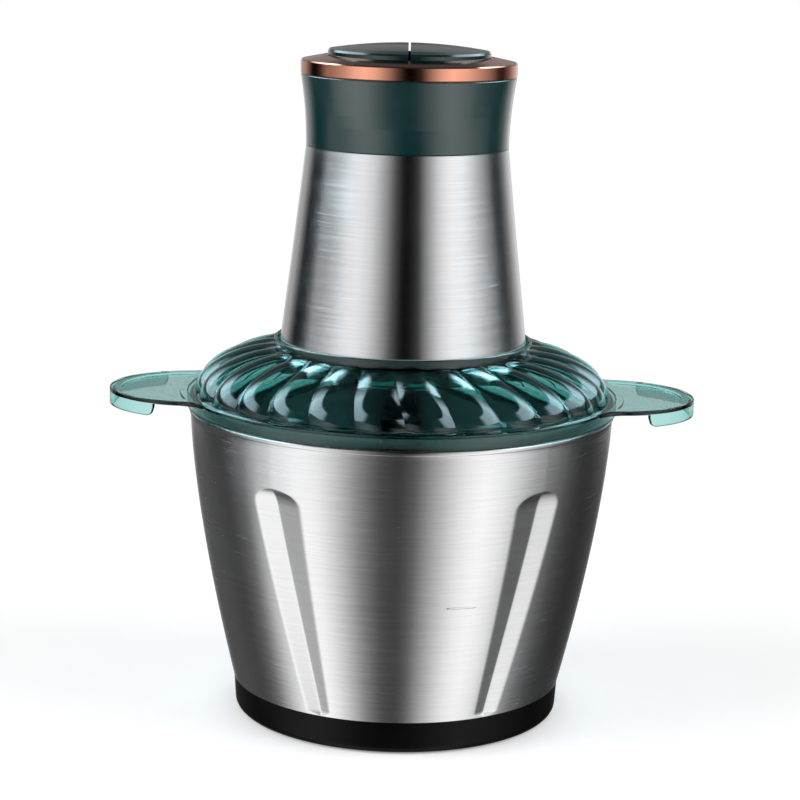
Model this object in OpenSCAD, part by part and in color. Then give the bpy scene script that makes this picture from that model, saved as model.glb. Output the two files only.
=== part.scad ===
// Electric food chopper: a pressed steel bowl on a rubber base ring, a clear ribbed lid with two
// carrying ears, and a motor head with two push buttons that drives a stack of blades.
// Millimetres. The origin is the centre of the base, on the table. The ears lie along X and the
// front faces -Y.

/* [Base ring] */
// Height of the rubber base ring
base_h = 14.7; // [12:0.1:18]
// Radius of the opening in the underside of the base ring
base_open_r = 52; // [44:1:58]
// Thickness of the rubber under the bowl's floor
base_lip_t = 4; // [3.5:0.1:6]
// Thickness of the rubber round the bowl's foot
base_wall = 3; // [2:0.1:4]
// Radius of the rounded lower edge
base_round = 4; // [2:0.5:7]
// How much the ring narrows towards the table
base_taper = 0.8; // [0.5:0.1:3]
// Depth of the groove in the tread
tread_depth = 1; // [0.4:0.1:2]
// Width of the groove in the tread
tread_w = 4; // [2:0.5:6]

/* [Bowl] */
// Height of the bowl's rim above the table
bowl_h = 139.5; // [125:0.5:150]
// Outer radius of the wall just under the rim
bowl_rim_r = 94.9; // [90:0.1:100]
// Outer radius of the wall just above the base ring
bowl_foot_r = 74.3; // [71:0.1:79]
// Exponent of the wall's curve, where 1 is a straight cone
bowl_curve = 1.5; // [1.1:0.1:2]
// Thickness of the steel sheet
bowl_t = 1; // [0.7:0.1:1.3]
// Inner radius of the corner between wall and floor
bowl_corner = 5; // [3:0.5:8]
// Height of the folded hem at the rim
hem_h = 2.2; // [1.5:0.1:3]
// How far the hem stands out from the wall
hem_w = 0.5; // [0.3:0.1:0.8]
// Radius of the raised centre of the floor
plateau_r = 24; // [18:1:32]
// Height of the raised centre above the floor
plateau_h = 4; // [2:0.5:6]

/* [Pressed flutes] */
// Height of the lower end of each flute
flute_z0 = 16.2; // [16:0.1:26]
// Height of the upper end of each flute
flute_z1 = 118; // [90:1:124]
// Width of a flute near its upper end
flute_top_w = 24.5; // [12:0.5:26]
// Width of a flute near its lower end
flute_low_w = 11.5; // [6:0.5:14]
// Depth of a flute near its upper end
flute_top_d = 3.8; // [2.5:0.1:6]
// Depth of a flute near its lower end
flute_low_d = 2.2; // [1:0.1:4]
// Angle of a flute's upper end from the front
flute_top_a = 37.4; // [30:0.1:55]
// Angle of a flute's lower end from the front
flute_low_a = 29.2; // [20:0.1:50]
// Angle by which the four flutes are turned from the front, towards the right
flute_turn = 2.8; // [0:0.1:5]

/* [Spindle and blades] */
// Radius of the fixed spindle in the bowl
spindle_r = 4; // [3:0.1:5]
// Height of the spindle above its flange
spindle_len = 51; // [40:1:60]
// Radius of the spindle's flange
spindle_flange_r = 11; // [9:0.5:15]
// Thickness of the spindle's flange
spindle_flange_t = 2; // [1.5:0.1:3]
// Radius of the riveted tail below the flange
spindle_tail_r = 3; // [2.5:0.1:3.5]
// Height of the nut under the floor
spindle_nut_h = 3.2; // [2.5:0.1:3.8]
// Wall of the nylon bearing sleeve
sleeve_wall = 2; // [1.5:0.1:2.5]
// Radius of the foot flange of the sleeve
sleeve_foot_r = 9; // [8:0.1:12]
// Thickness of the foot flange of the sleeve
sleeve_foot_t = 1; // [0.8:0.1:1.5]
// Radius of the blade hub where the blades sit
hub_seat_r = 10; // [9.5:0.1:11]
// Width across the two flats that key the blades
hub_flat_w = 17.6; // [16.8:0.1:18.6]
// Radius of the hub's column above the blades
hub_col_r = 9.4; // [9:0.1:9.6]
// Radius of the hub's foot flange
hub_foot_r = 15; // [13:0.5:18]
// Thickness of the hub's foot flange
hub_foot_t = 2; // [1.5:0.1:3]
// How far the hub's top lies below the bowl's rim
hub_drop = 3.5; // [2:0.5:8]
// Width across the flats of the hub's hexagonal socket
hex_af = 12; // [10:0.1:13]
// Depth of the hexagonal socket
hex_depth = 10.5; // [9:0.5:14]
// Radius of the blade tips
blade_r = 62; // [50:0.5:66]
// Thickness of a blade
blade_t = 1.5; // [1:0.1:2]
// Width of the ground edge of a blade
grind_w = 4; // [2:0.5:5]
// Radius of the round boss of a blade
blade_boss_r = 14; // [13:0.5:16]
// Height of the spacer between the two blades
spacer_h = 29; // [20:1:34]
// Wall of the spacer between the two blades
spacer_wall = 2.5; // [2:0.1:4]
// Height of the nut that clamps the blades
clamp_h = 6; // [4:0.5:8]
// Width across the flats of the nut that clamps the blades
clamp_af = 26; // [24:0.5:28]

/* [Lid] */
// Height of the lid's flange from its lower edge to its top
flange_h = 6.7; // [5.5:0.1:8]
// Thickness of the flange's top plate
flange_t = 2; // [1.6:0.1:2.4]
// Width of the flange's edge
skirt_w = 2.6; // [2:0.1:3]
// How far the flange overhangs the bowl's hem
flange_over = 1; // [0.6:0.1:2]
// How far the dome's foot lies inside the bowl's wall
dome_inset = 1.9; // [1:0.1:6]
// Height of the dome above the flange
dome_h = 20.5; // [16:0.5:24]
// Wall of the dome
dome_t = 2.2; // [1.8:0.1:2.6]
// Exponent of the dome's fall from the collar, where 1 is a quarter of an ellipse
dome_fall = 1.2; // [1:0.05:1.5]
// Number of lobes round the dome
lobe_count = 27; // [16:1:30]
// Depth of the creases between the lobes
lobe_depth = 2.8; // [1:0.1:3.5]
// Angle that the lobes turn through between collar and foot
lobe_swirl = 5; // [0:1:12]
// Wall of the collar round the head's foot
collar_wall = 1.3; // [1:0.1:2]
// Height of the collar above the dome
collar_rise = 3.6; // [2:0.1:6]
// Depth of the head's seat below the collar's edge
seat_depth = 9.8; // [8:0.1:12]
// Thickness of the seat plate
seat_t = 2; // [1.6:0.1:3]
// Radius of the hole that the drive passes through
drive_hole_r = 16; // [13:0.5:20]
// Length of the tube below the seat that guards the drive
guard_len = 10; // [4:0.5:13]
// Gap between the plug and the bowl's wall, which the gasket fills
plug_gap = 3.9; // [3:0.1:5]
// Wall of the plug that enters the bowl
plug_wall = 3; // [2:0.1:4]
// Depth of the plug below the bowl's rim
plug_depth = 5.5; // [4:0.5:8]
// Height of the gasket round the plug
gasket_h = 3.4; // [2:0.1:3.8]
// Gap between the gasket and the bowl's wall
gasket_gap = 0.4; // [0.3:0.1:0.8]

/* [Ears] */
// Radius of an ear's rounded end
ear_r = 36.5; // [30:0.5:40]
// How far an ear's centre lies inside the flange's edge
ear_inset = 1.4; // [0:0.1:6]
// Radius of the hollow corners between ear and flange
ear_fillet = 17; // [8:0.5:22]
// Width of an ear's raised border
ear_border = 5.5; // [4:0.5:8]
// Depth of the field inside the border
ear_recess = 0.8; // [0.4:0.1:1.2]
// Distance from the flange's edge to where an ear's turned-down lip starts
ear_lip_out = 12.6; // [6:0.1:20]
// Height of the turned-down lip below the ear
ear_lip_h = 5.5; // [3:0.5:6]
// Thickness of the turned-down lip
ear_lip_t = 2.2; // [1.6:0.1:3]

/* [Motor head] */
// Height of the steel housing
housing_h = 95.4; // [92:0.1:105]
// Outer radius of the housing at its foot
housing_foot_r = 56.1; // [54:0.1:60]
// Outer radius of the housing at its top
housing_top_r = 44.8; // [44:0.1:48]
// Exponent of the housing's taper, where 1 is a straight cone
housing_curve = 1.04; // [1:0.01:1.2]
// Wall of the housing
housing_t = 0.9; // [0.6:0.1:1.2]
// Height of the neck band above the housing
neck_h = 31.5; // [31:0.1:38]
// How much the neck band widens towards its top
neck_flare = 2.8; // [1.5:0.1:5]
// Wall of the neck band
neck_t = 2; // [1.5:0.1:2.3]
// Depth that the neck band reaches into the housing
neck_spigot = 6; // [4:0.5:8]
// Height of the neck band's edge bevels
neck_bevel = 0.5; // [0.2:0.1:1]
// Height of the straight side of the trim ring
trim_h = 6.1; // [5:0.1:8]
// Height of the trim ring's bevel
trim_bevel = 2; // [1.8:0.1:3]
// Wall of the trim ring
trim_t = 1.2; // [1:0.1:1.6]
// Depth that the trim ring reaches into the neck band
trim_spigot = 2.4; // [1.5:0.1:3]
// Thickness of the deck below the buttons
deck_t = 3.5; // [2.5:0.1:4.5]
// How far the deck's top lies below the neck band's edge
deck_drop = 0.4; // [0.2:0.1:1]
// Width of the ledge that the deck rests on
ledge_w = 5; // [4:0.5:6]
// Height of the ledge that the deck rests on
ledge_h = 5; // [3:0.5:6]
// Height of the cord inlet above the neck band's lower edge
inlet_rise = 11; // [10:0.5:12]
// Radius of the cord inlet's bore
inlet_bore_r = 3.5; // [3:0.1:4]
// Wall of the grommet round the cord
inlet_wall = 2; // [1.5:0.1:2.5]
// Width of the grommet's flanges beyond its body
inlet_flange = 2; // [1:0.1:2.5]
// Thickness of the grommet's flanges
inlet_flange_t = 2; // [1.5:0.1:2.5]
// Gap between the grommet's inner flange and the curved wall
inlet_clear = 1.2; // [1.1:0.1:2]

/* [Buttons] */
// Radius of the pair of half-round buttons
button_r = 35.8; // [33:0.1:38]
// Gap between the buttons and the trim ring
button_gap = 0.5; // [0.4:0.1:1]
// Width of the slot between the two buttons
button_split = 1; // [0.8:0.1:1.6]
// Height of the buttons' sides above the trim ring
button_proud = 2.5; // [1.5:0.1:4]
// Rise of the buttons' crown above their sides
button_crown = 3; // [1:0.1:5]
// Travel of a button
button_travel = 2.5; // [1.5:0.1:3]
// Wall of a button
button_t = 2; // [1.5:0.1:2.4]
// Distance of a button's stem from the axis
stem_x = 17; // [15:0.5:19]
// Radius of a button's stem
stem_r = 4; // [3:0.1:4.4]
// Radius of the return spring's coil
spring_r = 5.9; // [5.4:0.1:6.5]
// Radius of the return spring's wire
spring_wire_r = 0.45; // [0.3:0.05:0.5]
// Number of turns in the return spring
spring_turns = 4.5; // [3.5:1:6.5]
// Distance of the guide pegs from the axis, across the slot
peg_x = 12; // [10:0.5:14]
// Distance of the guide pegs from the axis, along the slot
peg_y = 23; // [20:0.5:25]
// Radius of a guide peg
peg_r = 2; // [1.5:0.1:2.5]

/* [Gear train] */
// Module of the gears
gear_module = 1.25; // [1:0.05:1.3]
// Number of teeth on the sun gear
sun_teeth = 12; // [12:3:12]
// Number of teeth on a planet gear
planet_teeth = 15; // [15:3:15]
// Width of the gears
gear_w = 10; // [8:0.5:11]
// Backlash taken off each tooth flank
backlash = 0.12; // [0.08:0.01:0.2]
// Rim outside the ring gear's teeth
ring_rim = 4; // [3:0.1:5]
// Wall of the gear housing
gearbox_wall = 2.5; // [2:0.1:4]
// Thickness of the gear housing's floor
gearbox_floor = 4; // [3:0.1:6]
// Thickness of the plate between gears and motor
cover_t = 3; // [2.5:0.1:4]
// Thickness of the planet carrier
carrier_t = 3.5; // [2.5:0.1:5]
// Radius of the planet carrier
carrier_r = 22.5; // [21:0.5:24]
// Radius of the planet pins
pin_r = 2.5; // [2:0.1:3]
// Radius of the output shaft
output_r = 5; // [4:0.1:6]
// Radius of the output shaft's lower end
output_tip_r = 3; // [2.5:0.1:3.5]
// Length of the coupling's hexagon inside the hub's socket
engage = 8.7; // [6:0.1:8.7]
// Length of the coupling's hexagon above the hub
coupler_reach = 5; // [3:0.5:8]
// Length of the coupling's sleeve
coupler_sleeve = 9; // [6:0.5:11]
// Wall of the bushes and seals round the output shaft
bush_wall = 4; // [3:0.1:5]

/* [Motor] */
// Radius of the motor shaft
shaft_r = 4; // [3:0.1:4.5]
// Outer radius of the ball bearings
bearing_r = 11; // [9:0.1:12]
// Width of the ball bearings
bearing_w = 7; // [5:0.5:8]
// Outer radius of the stator
stator_r = 35; // [33:0.1:36]
// Bore radius of the stator
stator_bore_r = 19.6; // [19:0.1:21]
// Air gap between armature and stator
air_gap = 0.5; // [0.4:0.1:0.8]
// Height of the windings beyond the iron at each end
overhang = 6.5; // [4:0.5:8]
// Number of slots in the armature
slot_count = 12; // [10:1:14]
// Radius of the commutator
comm_r = 12; // [10:0.1:13]
// Height of the commutator
comm_h = 11; // [9:0.5:13]
// Number of bars in the commutator
comm_bars = 24; // [18:1:30]
// Outer radius of the fan
fan_r = 32; // [28:0.5:34]
// Height of the fan
fan_h = 7; // [5:0.5:8]
// Number of blades on the fan
fan_blades = 9; // [7:1:13]
// Length of each fan blade
fan_blade_l = 15; // [10:0.5:18]
// Border of the fan plate outside its blades
fan_rim = 2; // [1:0.5:3]
// Thickness of the fan plate and its blades
fan_t = 1.2; // [0.8:0.1:1.8]
// Lean of the fan blades against the radius
fan_lean = 24; // [10:1:35]
// Wall of the tube that carries the stator
frame_wall = 2; // [1.5:0.1:3]
// Distance of the long screws from the axis
frame_screw_x = 40.5; // [39.5:0.1:42]
// Half of the angle that each winding slot of the stator takes
slot_half_a = 37; // [30:1:40]
// Half of the angle of the slot's mouth between the poles
slot_mouth_a = 18; // [12:1:24]
// Angle that a winding keeps clear of the slot's side and middle
coil_gap_a = 2; // [1:0.5:4]
// Height of the upper bearing bracket above the housing's top edge
bracket_rise = 2.6; // [2:0.1:4]
// Thickness of the upper bearing bracket
bracket_t = 3; // [2:0.1:4]
// Width of a carbon brush
brush_w = 6; // [5:0.1:7]
// Height of a carbon brush
brush_h = 8; // [6:0.1:9]
// Length of a carbon brush
brush_len = 15; // [12:0.5:18]
// Wall of a brush holder
holder_wall = 1.6; // [1.2:0.1:2]
// Thickness of the cover under the motor head
cap_t = 3; // [2.5:0.1:4]
// Thickness of the circuit board
board_t = 1.6; // [1:0.1:2]
// Height of a switch
switch_h = 10.4; // [9:0.1:11]
// Width of a switch
switch_w = 6.5; // [6:0.1:8]
// Length of a switch
switch_len = 20; // [16:0.5:22]
// Radius of a switch's plunger
plunger_r = 1.5; // [1:0.1:2]

/* [Fasteners and clearances] */
// Radius of the small screws' shanks
screw_r = 1.4; // [1.2:0.1:1.7]
// Radius of the small screws' heads
screw_head_r = 2.7; // [2.4:0.1:3]
// Height of the small screws' heads
screw_head_h = 1.8; // [1.4:0.1:2.2]
// Clearance between pieces that are fixed together
fit_gap = 0.05; // [0.02:0.01:0.1]
// Clearance of a shaft or pin that turns in its bore
run_gap = 0.06; // [0.03:0.01:0.1]
// Clearance of a stem that slides in its guide
slide_gap = 0.1; // [0.06:0.01:0.2]
// Vertical gap between pieces that rest on one another and lift apart
rest_gap = 0.3; // [0.2:0.05:0.5]
// End gap beside pieces that turn
thrust_gap = 0.5; // [0.3:0.1:0.8]
// Clearance of the hexagonal coupling in its socket
hex_gap = 0.25; // [0.15:0.05:0.4]
// Clearance between the collar and the housing
collar_gap = 0.4; // [0.3:0.1:0.8]

/* [Hidden] */
$fn = 96;
eps = 0.01;
big = 400;

// Heights in the bowl
floor_under = base_lip_t;
floor_top = floor_under + bowl_t;
plateau_under = floor_under + plateau_h;
plateau_top = plateau_under + bowl_t;
foot_r = bowl_foot_r - base_wall;
bowl_span = bowl_h - base_h;
spindle_base = plateau_top + spindle_flange_t;
spindle_top = spindle_base + spindle_len;

// Heights of the blade stack
sleeve_z = spindle_base + rest_gap;
sleeve_bore = spindle_r + run_gap;
sleeve_r = sleeve_bore + sleeve_wall;
sleeve_top = spindle_top + 2;
hub_z = sleeve_z + sleeve_foot_t + rest_gap;
hub_bore = sleeve_r + run_gap;
low_blade_z = hub_z + hub_foot_t;
spacer_z = low_blade_z + blade_t;
top_blade_z = spacer_z + spacer_h;
clamp_z = top_blade_z + blade_t;
clamp_top = clamp_z + clamp_h;
hub_top = bowl_h - hub_drop;
socket_z = hub_top - hex_depth;

// Heights and radii of the lid
lid_low = bowl_h + rest_gap;
lid_top = lid_low + flange_h;
flange_r = bowl_rim_r + hem_w + flange_over;
skirt_r = flange_r - skirt_w;
dome_foot_r = bowl_rim_r - dome_inset;
plug_r = bowl_rim_r - bowl_t - plug_gap;
ear_x = flange_r - ear_inset;
ear_lip_x = flange_r + ear_lip_out;
plug_low = bowl_h - plug_depth;
collar_in = housing_foot_r + collar_gap;
collar_out = collar_in + collar_wall;
dome_top = lid_top + dome_h;
collar_top = dome_top + collar_rise;
seat_z = collar_top - seat_depth;
guard_wall = 2;
fillet_x = (pow(flange_r + ear_fillet, 2) - pow(ear_r + ear_fillet, 2) + ear_x * ear_x) / (2 * ear_x);
fillet_y = sqrt(pow(flange_r + ear_fillet, 2) - fillet_x * fillet_x);

// Heights of the head, from the seat upwards
head_z = seat_z + rest_gap;
neck_z = head_z + housing_h;
neck_top = neck_z + neck_h;
deck_top = neck_top - deck_drop;
deck_z = deck_top - deck_t;
trim_side_top = neck_top + trim_h;
trim_top = trim_side_top + trim_bevel;
neck_top_r = housing_top_r + neck_flare;
trim_open_r = button_r + button_gap;
button_side_top = trim_top + button_proud;
button_low = deck_top + button_travel + 1;
button_roof = button_side_top - 1.2;
spring_h = button_roof - deck_top;
deck_r = neck_top_r - neck_t - trim_t - 2.4;

// Gear train
cap_top = head_z + cap_t;
gear_floor_top = cap_top + gearbox_floor;
bush_top = gear_floor_top + 1;
carrier_z = bush_top + thrust_gap;
carrier_top = carrier_z + carrier_t;
gear_z = carrier_top + thrust_gap;
gear_top = gear_z + gear_w;
cover_z = gear_top + 3 * thrust_gap;
cover_top = cover_z + cover_t;
ring_teeth = sun_teeth + 2 * planet_teeth;
planet_dist = gear_module * (sun_teeth + planet_teeth) / 2;
ring_space_r = gear_module * (ring_teeth / 2 + 1.2);
ring_out_r = ring_space_r + ring_rim - 0.01;
gearbox_in = ring_out_r + fit_gap;
gearbox_r = gearbox_in + gearbox_wall;
bush_r = output_r + bush_wall;
coupler_z = hub_top - engage;
coupler_mid = hub_top + coupler_reach;
coupler_top = coupler_mid + coupler_sleeve;
coupler_af = hex_af - 2 * hex_gap;
clip_t = 1;
clip_z = head_z - rest_gap - clip_t;

// Motor, with the iron stack filling what the rest leaves
bearing_top = cover_z + bearing_w;
fan_z = bearing_top + 3 * thrust_gap;
low_wind_z = fan_z + fan_h + 2;
stack_z = low_wind_z + overhang;
bracket_z = neck_z + bracket_rise;
comm_z = bracket_z - 2 - comm_h;
top_wind_z = comm_z - 1;
stack_top = top_wind_z - overhang;
stack_h = stack_top - stack_z;
armature_r = stator_bore_r - air_gap;
frame_in = stator_r + fit_gap;
coil_leg_a = 90 - slot_half_a + coil_gap_a;
frame_r = frame_in + frame_wall;
lug_r = 4.5;
lug_t = 4;
holder_in = comm_r + 2;
holder_out = stator_r - 1;
bracket_top = bracket_z + bearing_w + 1;
board_z = bracket_top + 1.6;
switch_z = board_z + board_t;
switch_top = switch_z + switch_h;
plunger_top = switch_top + button_travel + rest_gap;
plunger_low = plunger_top - button_travel - 4.6;
inlet_z = neck_z + inlet_rise;
inlet_body_r = inlet_bore_r + inlet_wall;
gland_seat = neck_r(inlet_z) - neck_t - inlet_clear;
gland_in = gland_seat - inlet_flange_t;

// A circular arc as a list of points
function arc(cx, cy, r, a0, a1, n = 5) =
    [for (i = [0:n]) let (a = a0 + (a1 - a0) * i / n) [cx + r * cos(a), cy + r * sin(a)]];

// Outer radius of the bowl's wall at a height
function bowl_r(z) = bowl_rim_r
    - (bowl_rim_r - bowl_foot_r) * pow(max(0, bowl_h - z) / bowl_span, bowl_curve);

// Outer radius of the steel housing at a height
function housing_r(z) = housing_top_r
    + (housing_foot_r - housing_top_r) * pow(max(0, neck_z - z) / housing_h, housing_curve);

// Outer radius of the neck band at a height
function neck_r(z) = housing_top_r + neck_flare * pow(max(0, z - neck_z) / neck_h, 2);

// Involute gear outline: each tooth runs up one flank, over its tip and down the other
function inv_angle(a) = tan(a) * 180 / PI - a;
function gear_half(r, rb, half) = half - inv_angle(acos(min(1, rb / r)));
function gear_points(teeth, add, ded, thin, steps = 4) = let (
        rp = gear_module * teeth / 2,
        rb = rp * cos(20),
        rt = rp + add * gear_module,
        rr = rp - ded * gear_module,
        rs = max(rr + 0.02, rb),
        half = 90 / teeth + inv_angle(20) - thin / rp * 180 / PI)
    [for (i = [0:teeth - 1]) let (c = 360 * i / teeth) each concat(
        [rr * [cos(c - gear_half(rs, rb, half)), sin(c - gear_half(rs, rb, half))]],
        [for (k = [0:steps]) let (r = rs + (rt - rs) * k / steps, a = c - gear_half(r, rb, half))
            r * [cos(a), sin(a)]],
        [for (k = [steps:-1:0]) let (r = rs + (rt - rs) * k / steps, a = c + gear_half(r, rb, half))
            r * [cos(a), sin(a)]],
        [rr * [cos(c + gear_half(rs, rb, half)), sin(c + gear_half(rs, rb, half))]])];

// A solid skinned over rings of points that run anticlockwise, seen from above
module skin(rings, loop = false) {
    n = len(rings[0]);
    m = len(rings);
    last = loop ? m - 1 : m - 2;
    sides = [for (i = [0:last]) let (k = (i + 1) % m) for (j = [0:n - 1]) let (q = (j + 1) % n)
        each [[i * n + j, k * n + j, k * n + q], [i * n + j, k * n + q, i * n + q]]];
    caps = loop ? [] : [[for (j = [0:n - 1]) j], [for (j = [n - 1:-1:0]) (m - 1) * n + j]];
    polyhedron(points = [for (ring = rings) each ring], faces = concat(sides, caps), convexity = 8);
}

module tube(ro, ri, z0, z1) {
    translate([0, 0, z0]) difference() {
        cylinder(r = ro, h = z1 - z0);
        translate([0, 0, -1]) cylinder(r = ri, h = z1 - z0 + 2);
    }
}

module disc(r, z0, z1) {
    translate([0, 0, z0]) cylinder(r = r, h = z1 - z0);
}

module hexagon(af, z0, z1) {
    translate([0, 0, z0]) cylinder(r = af / sqrt(3), h = z1 - z0, $fn = 6);
}

// A round-headed screw standing on its point, with the underside of its head at the origin
module screw(len) {
    translate([0, 0, -len]) cylinder(r = screw_r, h = len);
    difference() {
        cylinder(r = screw_head_r, h = screw_head_h);
        translate([0, 0, screw_head_h / 2]) for (a = [0, 90]) rotate(a)
            translate([-screw_head_r * 0.6, -0.3, 0]) cube([screw_head_r * 1.2, 0.6, screw_head_h]);
    }
}

// Base

module base_ring() {
    fr = foot_r + fit_gap;
    cr = bowl_corner + bowl_t;
    low_r = bowl_foot_r - base_taper;
    tread_r = (base_open_r + low_r - base_round) / 2;
    color([0.05, 0.05, 0.055]) rotate_extrude() difference() {
        polygon(concat(
            [[base_open_r, 0]],
            arc(low_r - base_round, base_round, base_round, -90, 0),
            [[bowl_foot_r - 0.1, base_h], [fr, base_h]],
            arc(fr - cr, floor_under + cr, cr, 0, -90),
            [[base_open_r, floor_under]]));
        translate([tread_r - tread_w / 2, -1]) square([tread_w, 1 + tread_depth]);
    }
}

// Bowl

// Outside of the steel sheet, as a solid
module bowl_outside() {
    hem_z = bowl_h - hem_h;
    polygon(concat(
        [[0, plateau_under], [plateau_r, plateau_under], [plateau_r + 2 * plateau_h, floor_under]],
        arc(foot_r - bowl_corner - bowl_t, floor_under + bowl_corner + bowl_t, bowl_corner + bowl_t, -90, 0),
        [[foot_r, base_h]],
        [for (i = [0:10]) let (z = base_h + (hem_z - base_h) * i / 10) [bowl_r(z), z]],
        [[bowl_rim_r + hem_w, hem_z + hem_w], [bowl_rim_r + hem_w, bowl_h - 0.5],
         [bowl_rim_r + hem_w - 0.5, bowl_h], [0, bowl_h]]));
}

// Room inside the steel sheet, as a solid that reaches above the rim
module bowl_inside() {
    fi = foot_r - bowl_t;
    low = base_h + bowl_t;
    polygon(concat(
        [[0, plateau_top], [plateau_r + 0.4, plateau_top], [plateau_r + 2 * plateau_h + 0.4, floor_top]],
        arc(fi - bowl_corner, floor_top + bowl_corner, bowl_corner, -90, 0),
        [[fi, low]],
        [for (i = [0:10]) let (z = low + (bowl_h - low) * i / 10) [bowl_r(z) - bowl_t, z]],
        [[bowl_rim_r - bowl_t, bowl_h + 5], [0, bowl_h + 5]]));
}

// One pressed flute: a leaning V of even slope, whose depth rounds off at the upper end
function flute_shape(s) = let (
        top = s > 0.9 ? sqrt(max(0, 1 - pow((s - 0.9) / 0.1, 2))) : 1,
        low = s < 0.06 ? s / 0.06 : 1)
    min(top, low);
function flute_ring(s, shift) = let (
        z = flute_z0 + s * (flute_z1 - flute_z0),
        a = -90 + flute_low_a + s * (flute_top_a - flute_low_a),
        w = (flute_low_w + s * (flute_top_w - flute_low_w)) / 2,
        d = flute_low_d + s * (flute_top_d - flute_low_d),
        r = bowl_r(z),
        lift = 0.8,
        deep = flute_shape(s) * (d + lift) - lift + shift,
        wide = w / (d - w * w / (2 * r)) * (deep + 2 * lift),
        n = [cos(a), sin(a)],
        t = [-sin(a), cos(a)])
    [for (q = [(r - deep) * n, (r + 2 * lift) * n - wide * t, (r + 2 * lift) * n + wide * t]) [q.x, q.y, z]];
flute_steps = [0, 0.06, 0.3, 0.55, 0.78, 0.9, 0.935, 0.965, 0.985, 1];

module flutes(shift) {
    rotate(flute_turn) for (x = [0, 1], y = [0, 1]) mirror([x, 0, 0]) mirror([0, y, 0])
        skin([for (s = flute_steps) flute_ring(s, shift)]);
}

module bowl_shell() {
    color([0.78, 0.78, 0.79]) difference() {
        rotate_extrude() bowl_outside();
        flutes(0);
        difference() {
            rotate_extrude() bowl_inside();
            flutes(1.09 * bowl_t);
        }
        disc(spindle_tail_r + fit_gap, 0, bowl_h);
    }
}

module bowl_spindle() {
    tail_z = plateau_under - spindle_nut_h;
    color([0.7, 0.7, 0.72]) union() {
        disc(spindle_tail_r, tail_z, plateau_top + eps);
        disc(spindle_flange_r, plateau_top, spindle_base);
        disc(spindle_r, spindle_base - eps, spindle_top - 1);
        translate([0, 0, spindle_top - 1]) cylinder(r1 = spindle_r, r2 = spindle_r - 1, h = 1);
    }
}

module spindle_nut() {
    color([0.6, 0.6, 0.62]) difference() {
        hexagon(4 * spindle_tail_r, plateau_under - spindle_nut_h, plateau_under);
        disc(spindle_tail_r + fit_gap, 0, bowl_h);
    }
}

// Blade stack

module blade_bearing() {
    color([0.9, 0.9, 0.87]) difference() {
        union() {
            disc(sleeve_foot_r, sleeve_z, sleeve_z + sleeve_foot_t);
            disc(sleeve_r, sleeve_z, sleeve_top);
        }
        disc(sleeve_bore, sleeve_z - 1, sleeve_top + 1);
    }
}

// The round seat with two flats that stops the blades turning on the hub
module keyed(r, flat, z0, z1) {
    intersection() {
        disc(r, z0, z1);
        translate([-r - 1, -flat / 2, z0 - 1]) cube([2 * r + 2, flat, z1 - z0 + 2]);
    }
}

module blade_hub() {
    bore_top = sleeve_top + rest_gap;
    color([0.93, 0.93, 0.91]) difference() {
        union() {
            disc(hub_foot_r, hub_z, low_blade_z);
            keyed(hub_seat_r, hub_flat_w, low_blade_z - eps, clamp_top);
            disc(hub_flat_w / 2, clamp_top - eps, clamp_top + 3);
            translate([0, 0, clamp_top + 3 - eps])
                cylinder(r1 = hub_flat_w / 2, r2 = hub_col_r, h = 2 + eps);
            disc(hub_col_r, clamp_top + 5 - eps, hub_top - 1);
            translate([0, 0, hub_top - 1 - eps]) cylinder(r1 = hub_col_r, r2 = hub_col_r - 0.6, h = 1 + eps);
        }
        disc(hub_bore, hub_z - 1, bore_top);
        hexagon(hex_af, socket_z, hub_top + 1);
        for (a = [0:60:359]) rotate(a + 30) translate([hub_col_r + 1.2, 0, clamp_top + 12])
            cylinder(r = 2, h = socket_z - clamp_top - 16);
    }
}

// One wing: a crescent whose outer arc is ground to an edge
module wing() {
    k = blade_r / 62;
    edge_r = 40 * k;
    intersection() {
        linear_extrude(blade_t) difference() {
            intersection() {
                translate([22.6 * k, -29.6 * k]) circle(r = edge_r);
                translate([0, -blade_r - 10]) square([blade_r + 10, 2 * blade_r + 20]);
            }
            translate([26.1 * k, -45.2 * k]) circle(r = 45.2 * k);
        }
        translate([22.6 * k, -29.6 * k, 0]) cylinder(r1 = edge_r, r2 = edge_r - grind_w, h = blade_t);
    }
}

module blade(z, turn) {
    color([0.82, 0.82, 0.84]) translate([0, 0, z]) difference() {
        union() {
            cylinder(r = blade_boss_r, h = blade_t);
            for (a = [0, 180]) rotate(a + turn) wing();
        }
        keyed(hub_seat_r + fit_gap, hub_flat_w + 2 * fit_gap, -1, blade_t + 1);
    }
}

module lower_blade() { blade(low_blade_z, 0); }

module upper_blade() { blade(top_blade_z, 90); }

module blade_spacer() {
    color([0.93, 0.93, 0.91]) tube(hub_seat_r + fit_gap + spacer_wall, hub_seat_r + fit_gap, spacer_z, top_blade_z);
}

module blade_nut() {
    color([0.93, 0.93, 0.91]) difference() {
        hexagon(clamp_af, clamp_z, clamp_top);
        disc(hub_seat_r + fit_gap, clamp_z - 1, clamp_top + 1);
    }
}

// Lid

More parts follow.
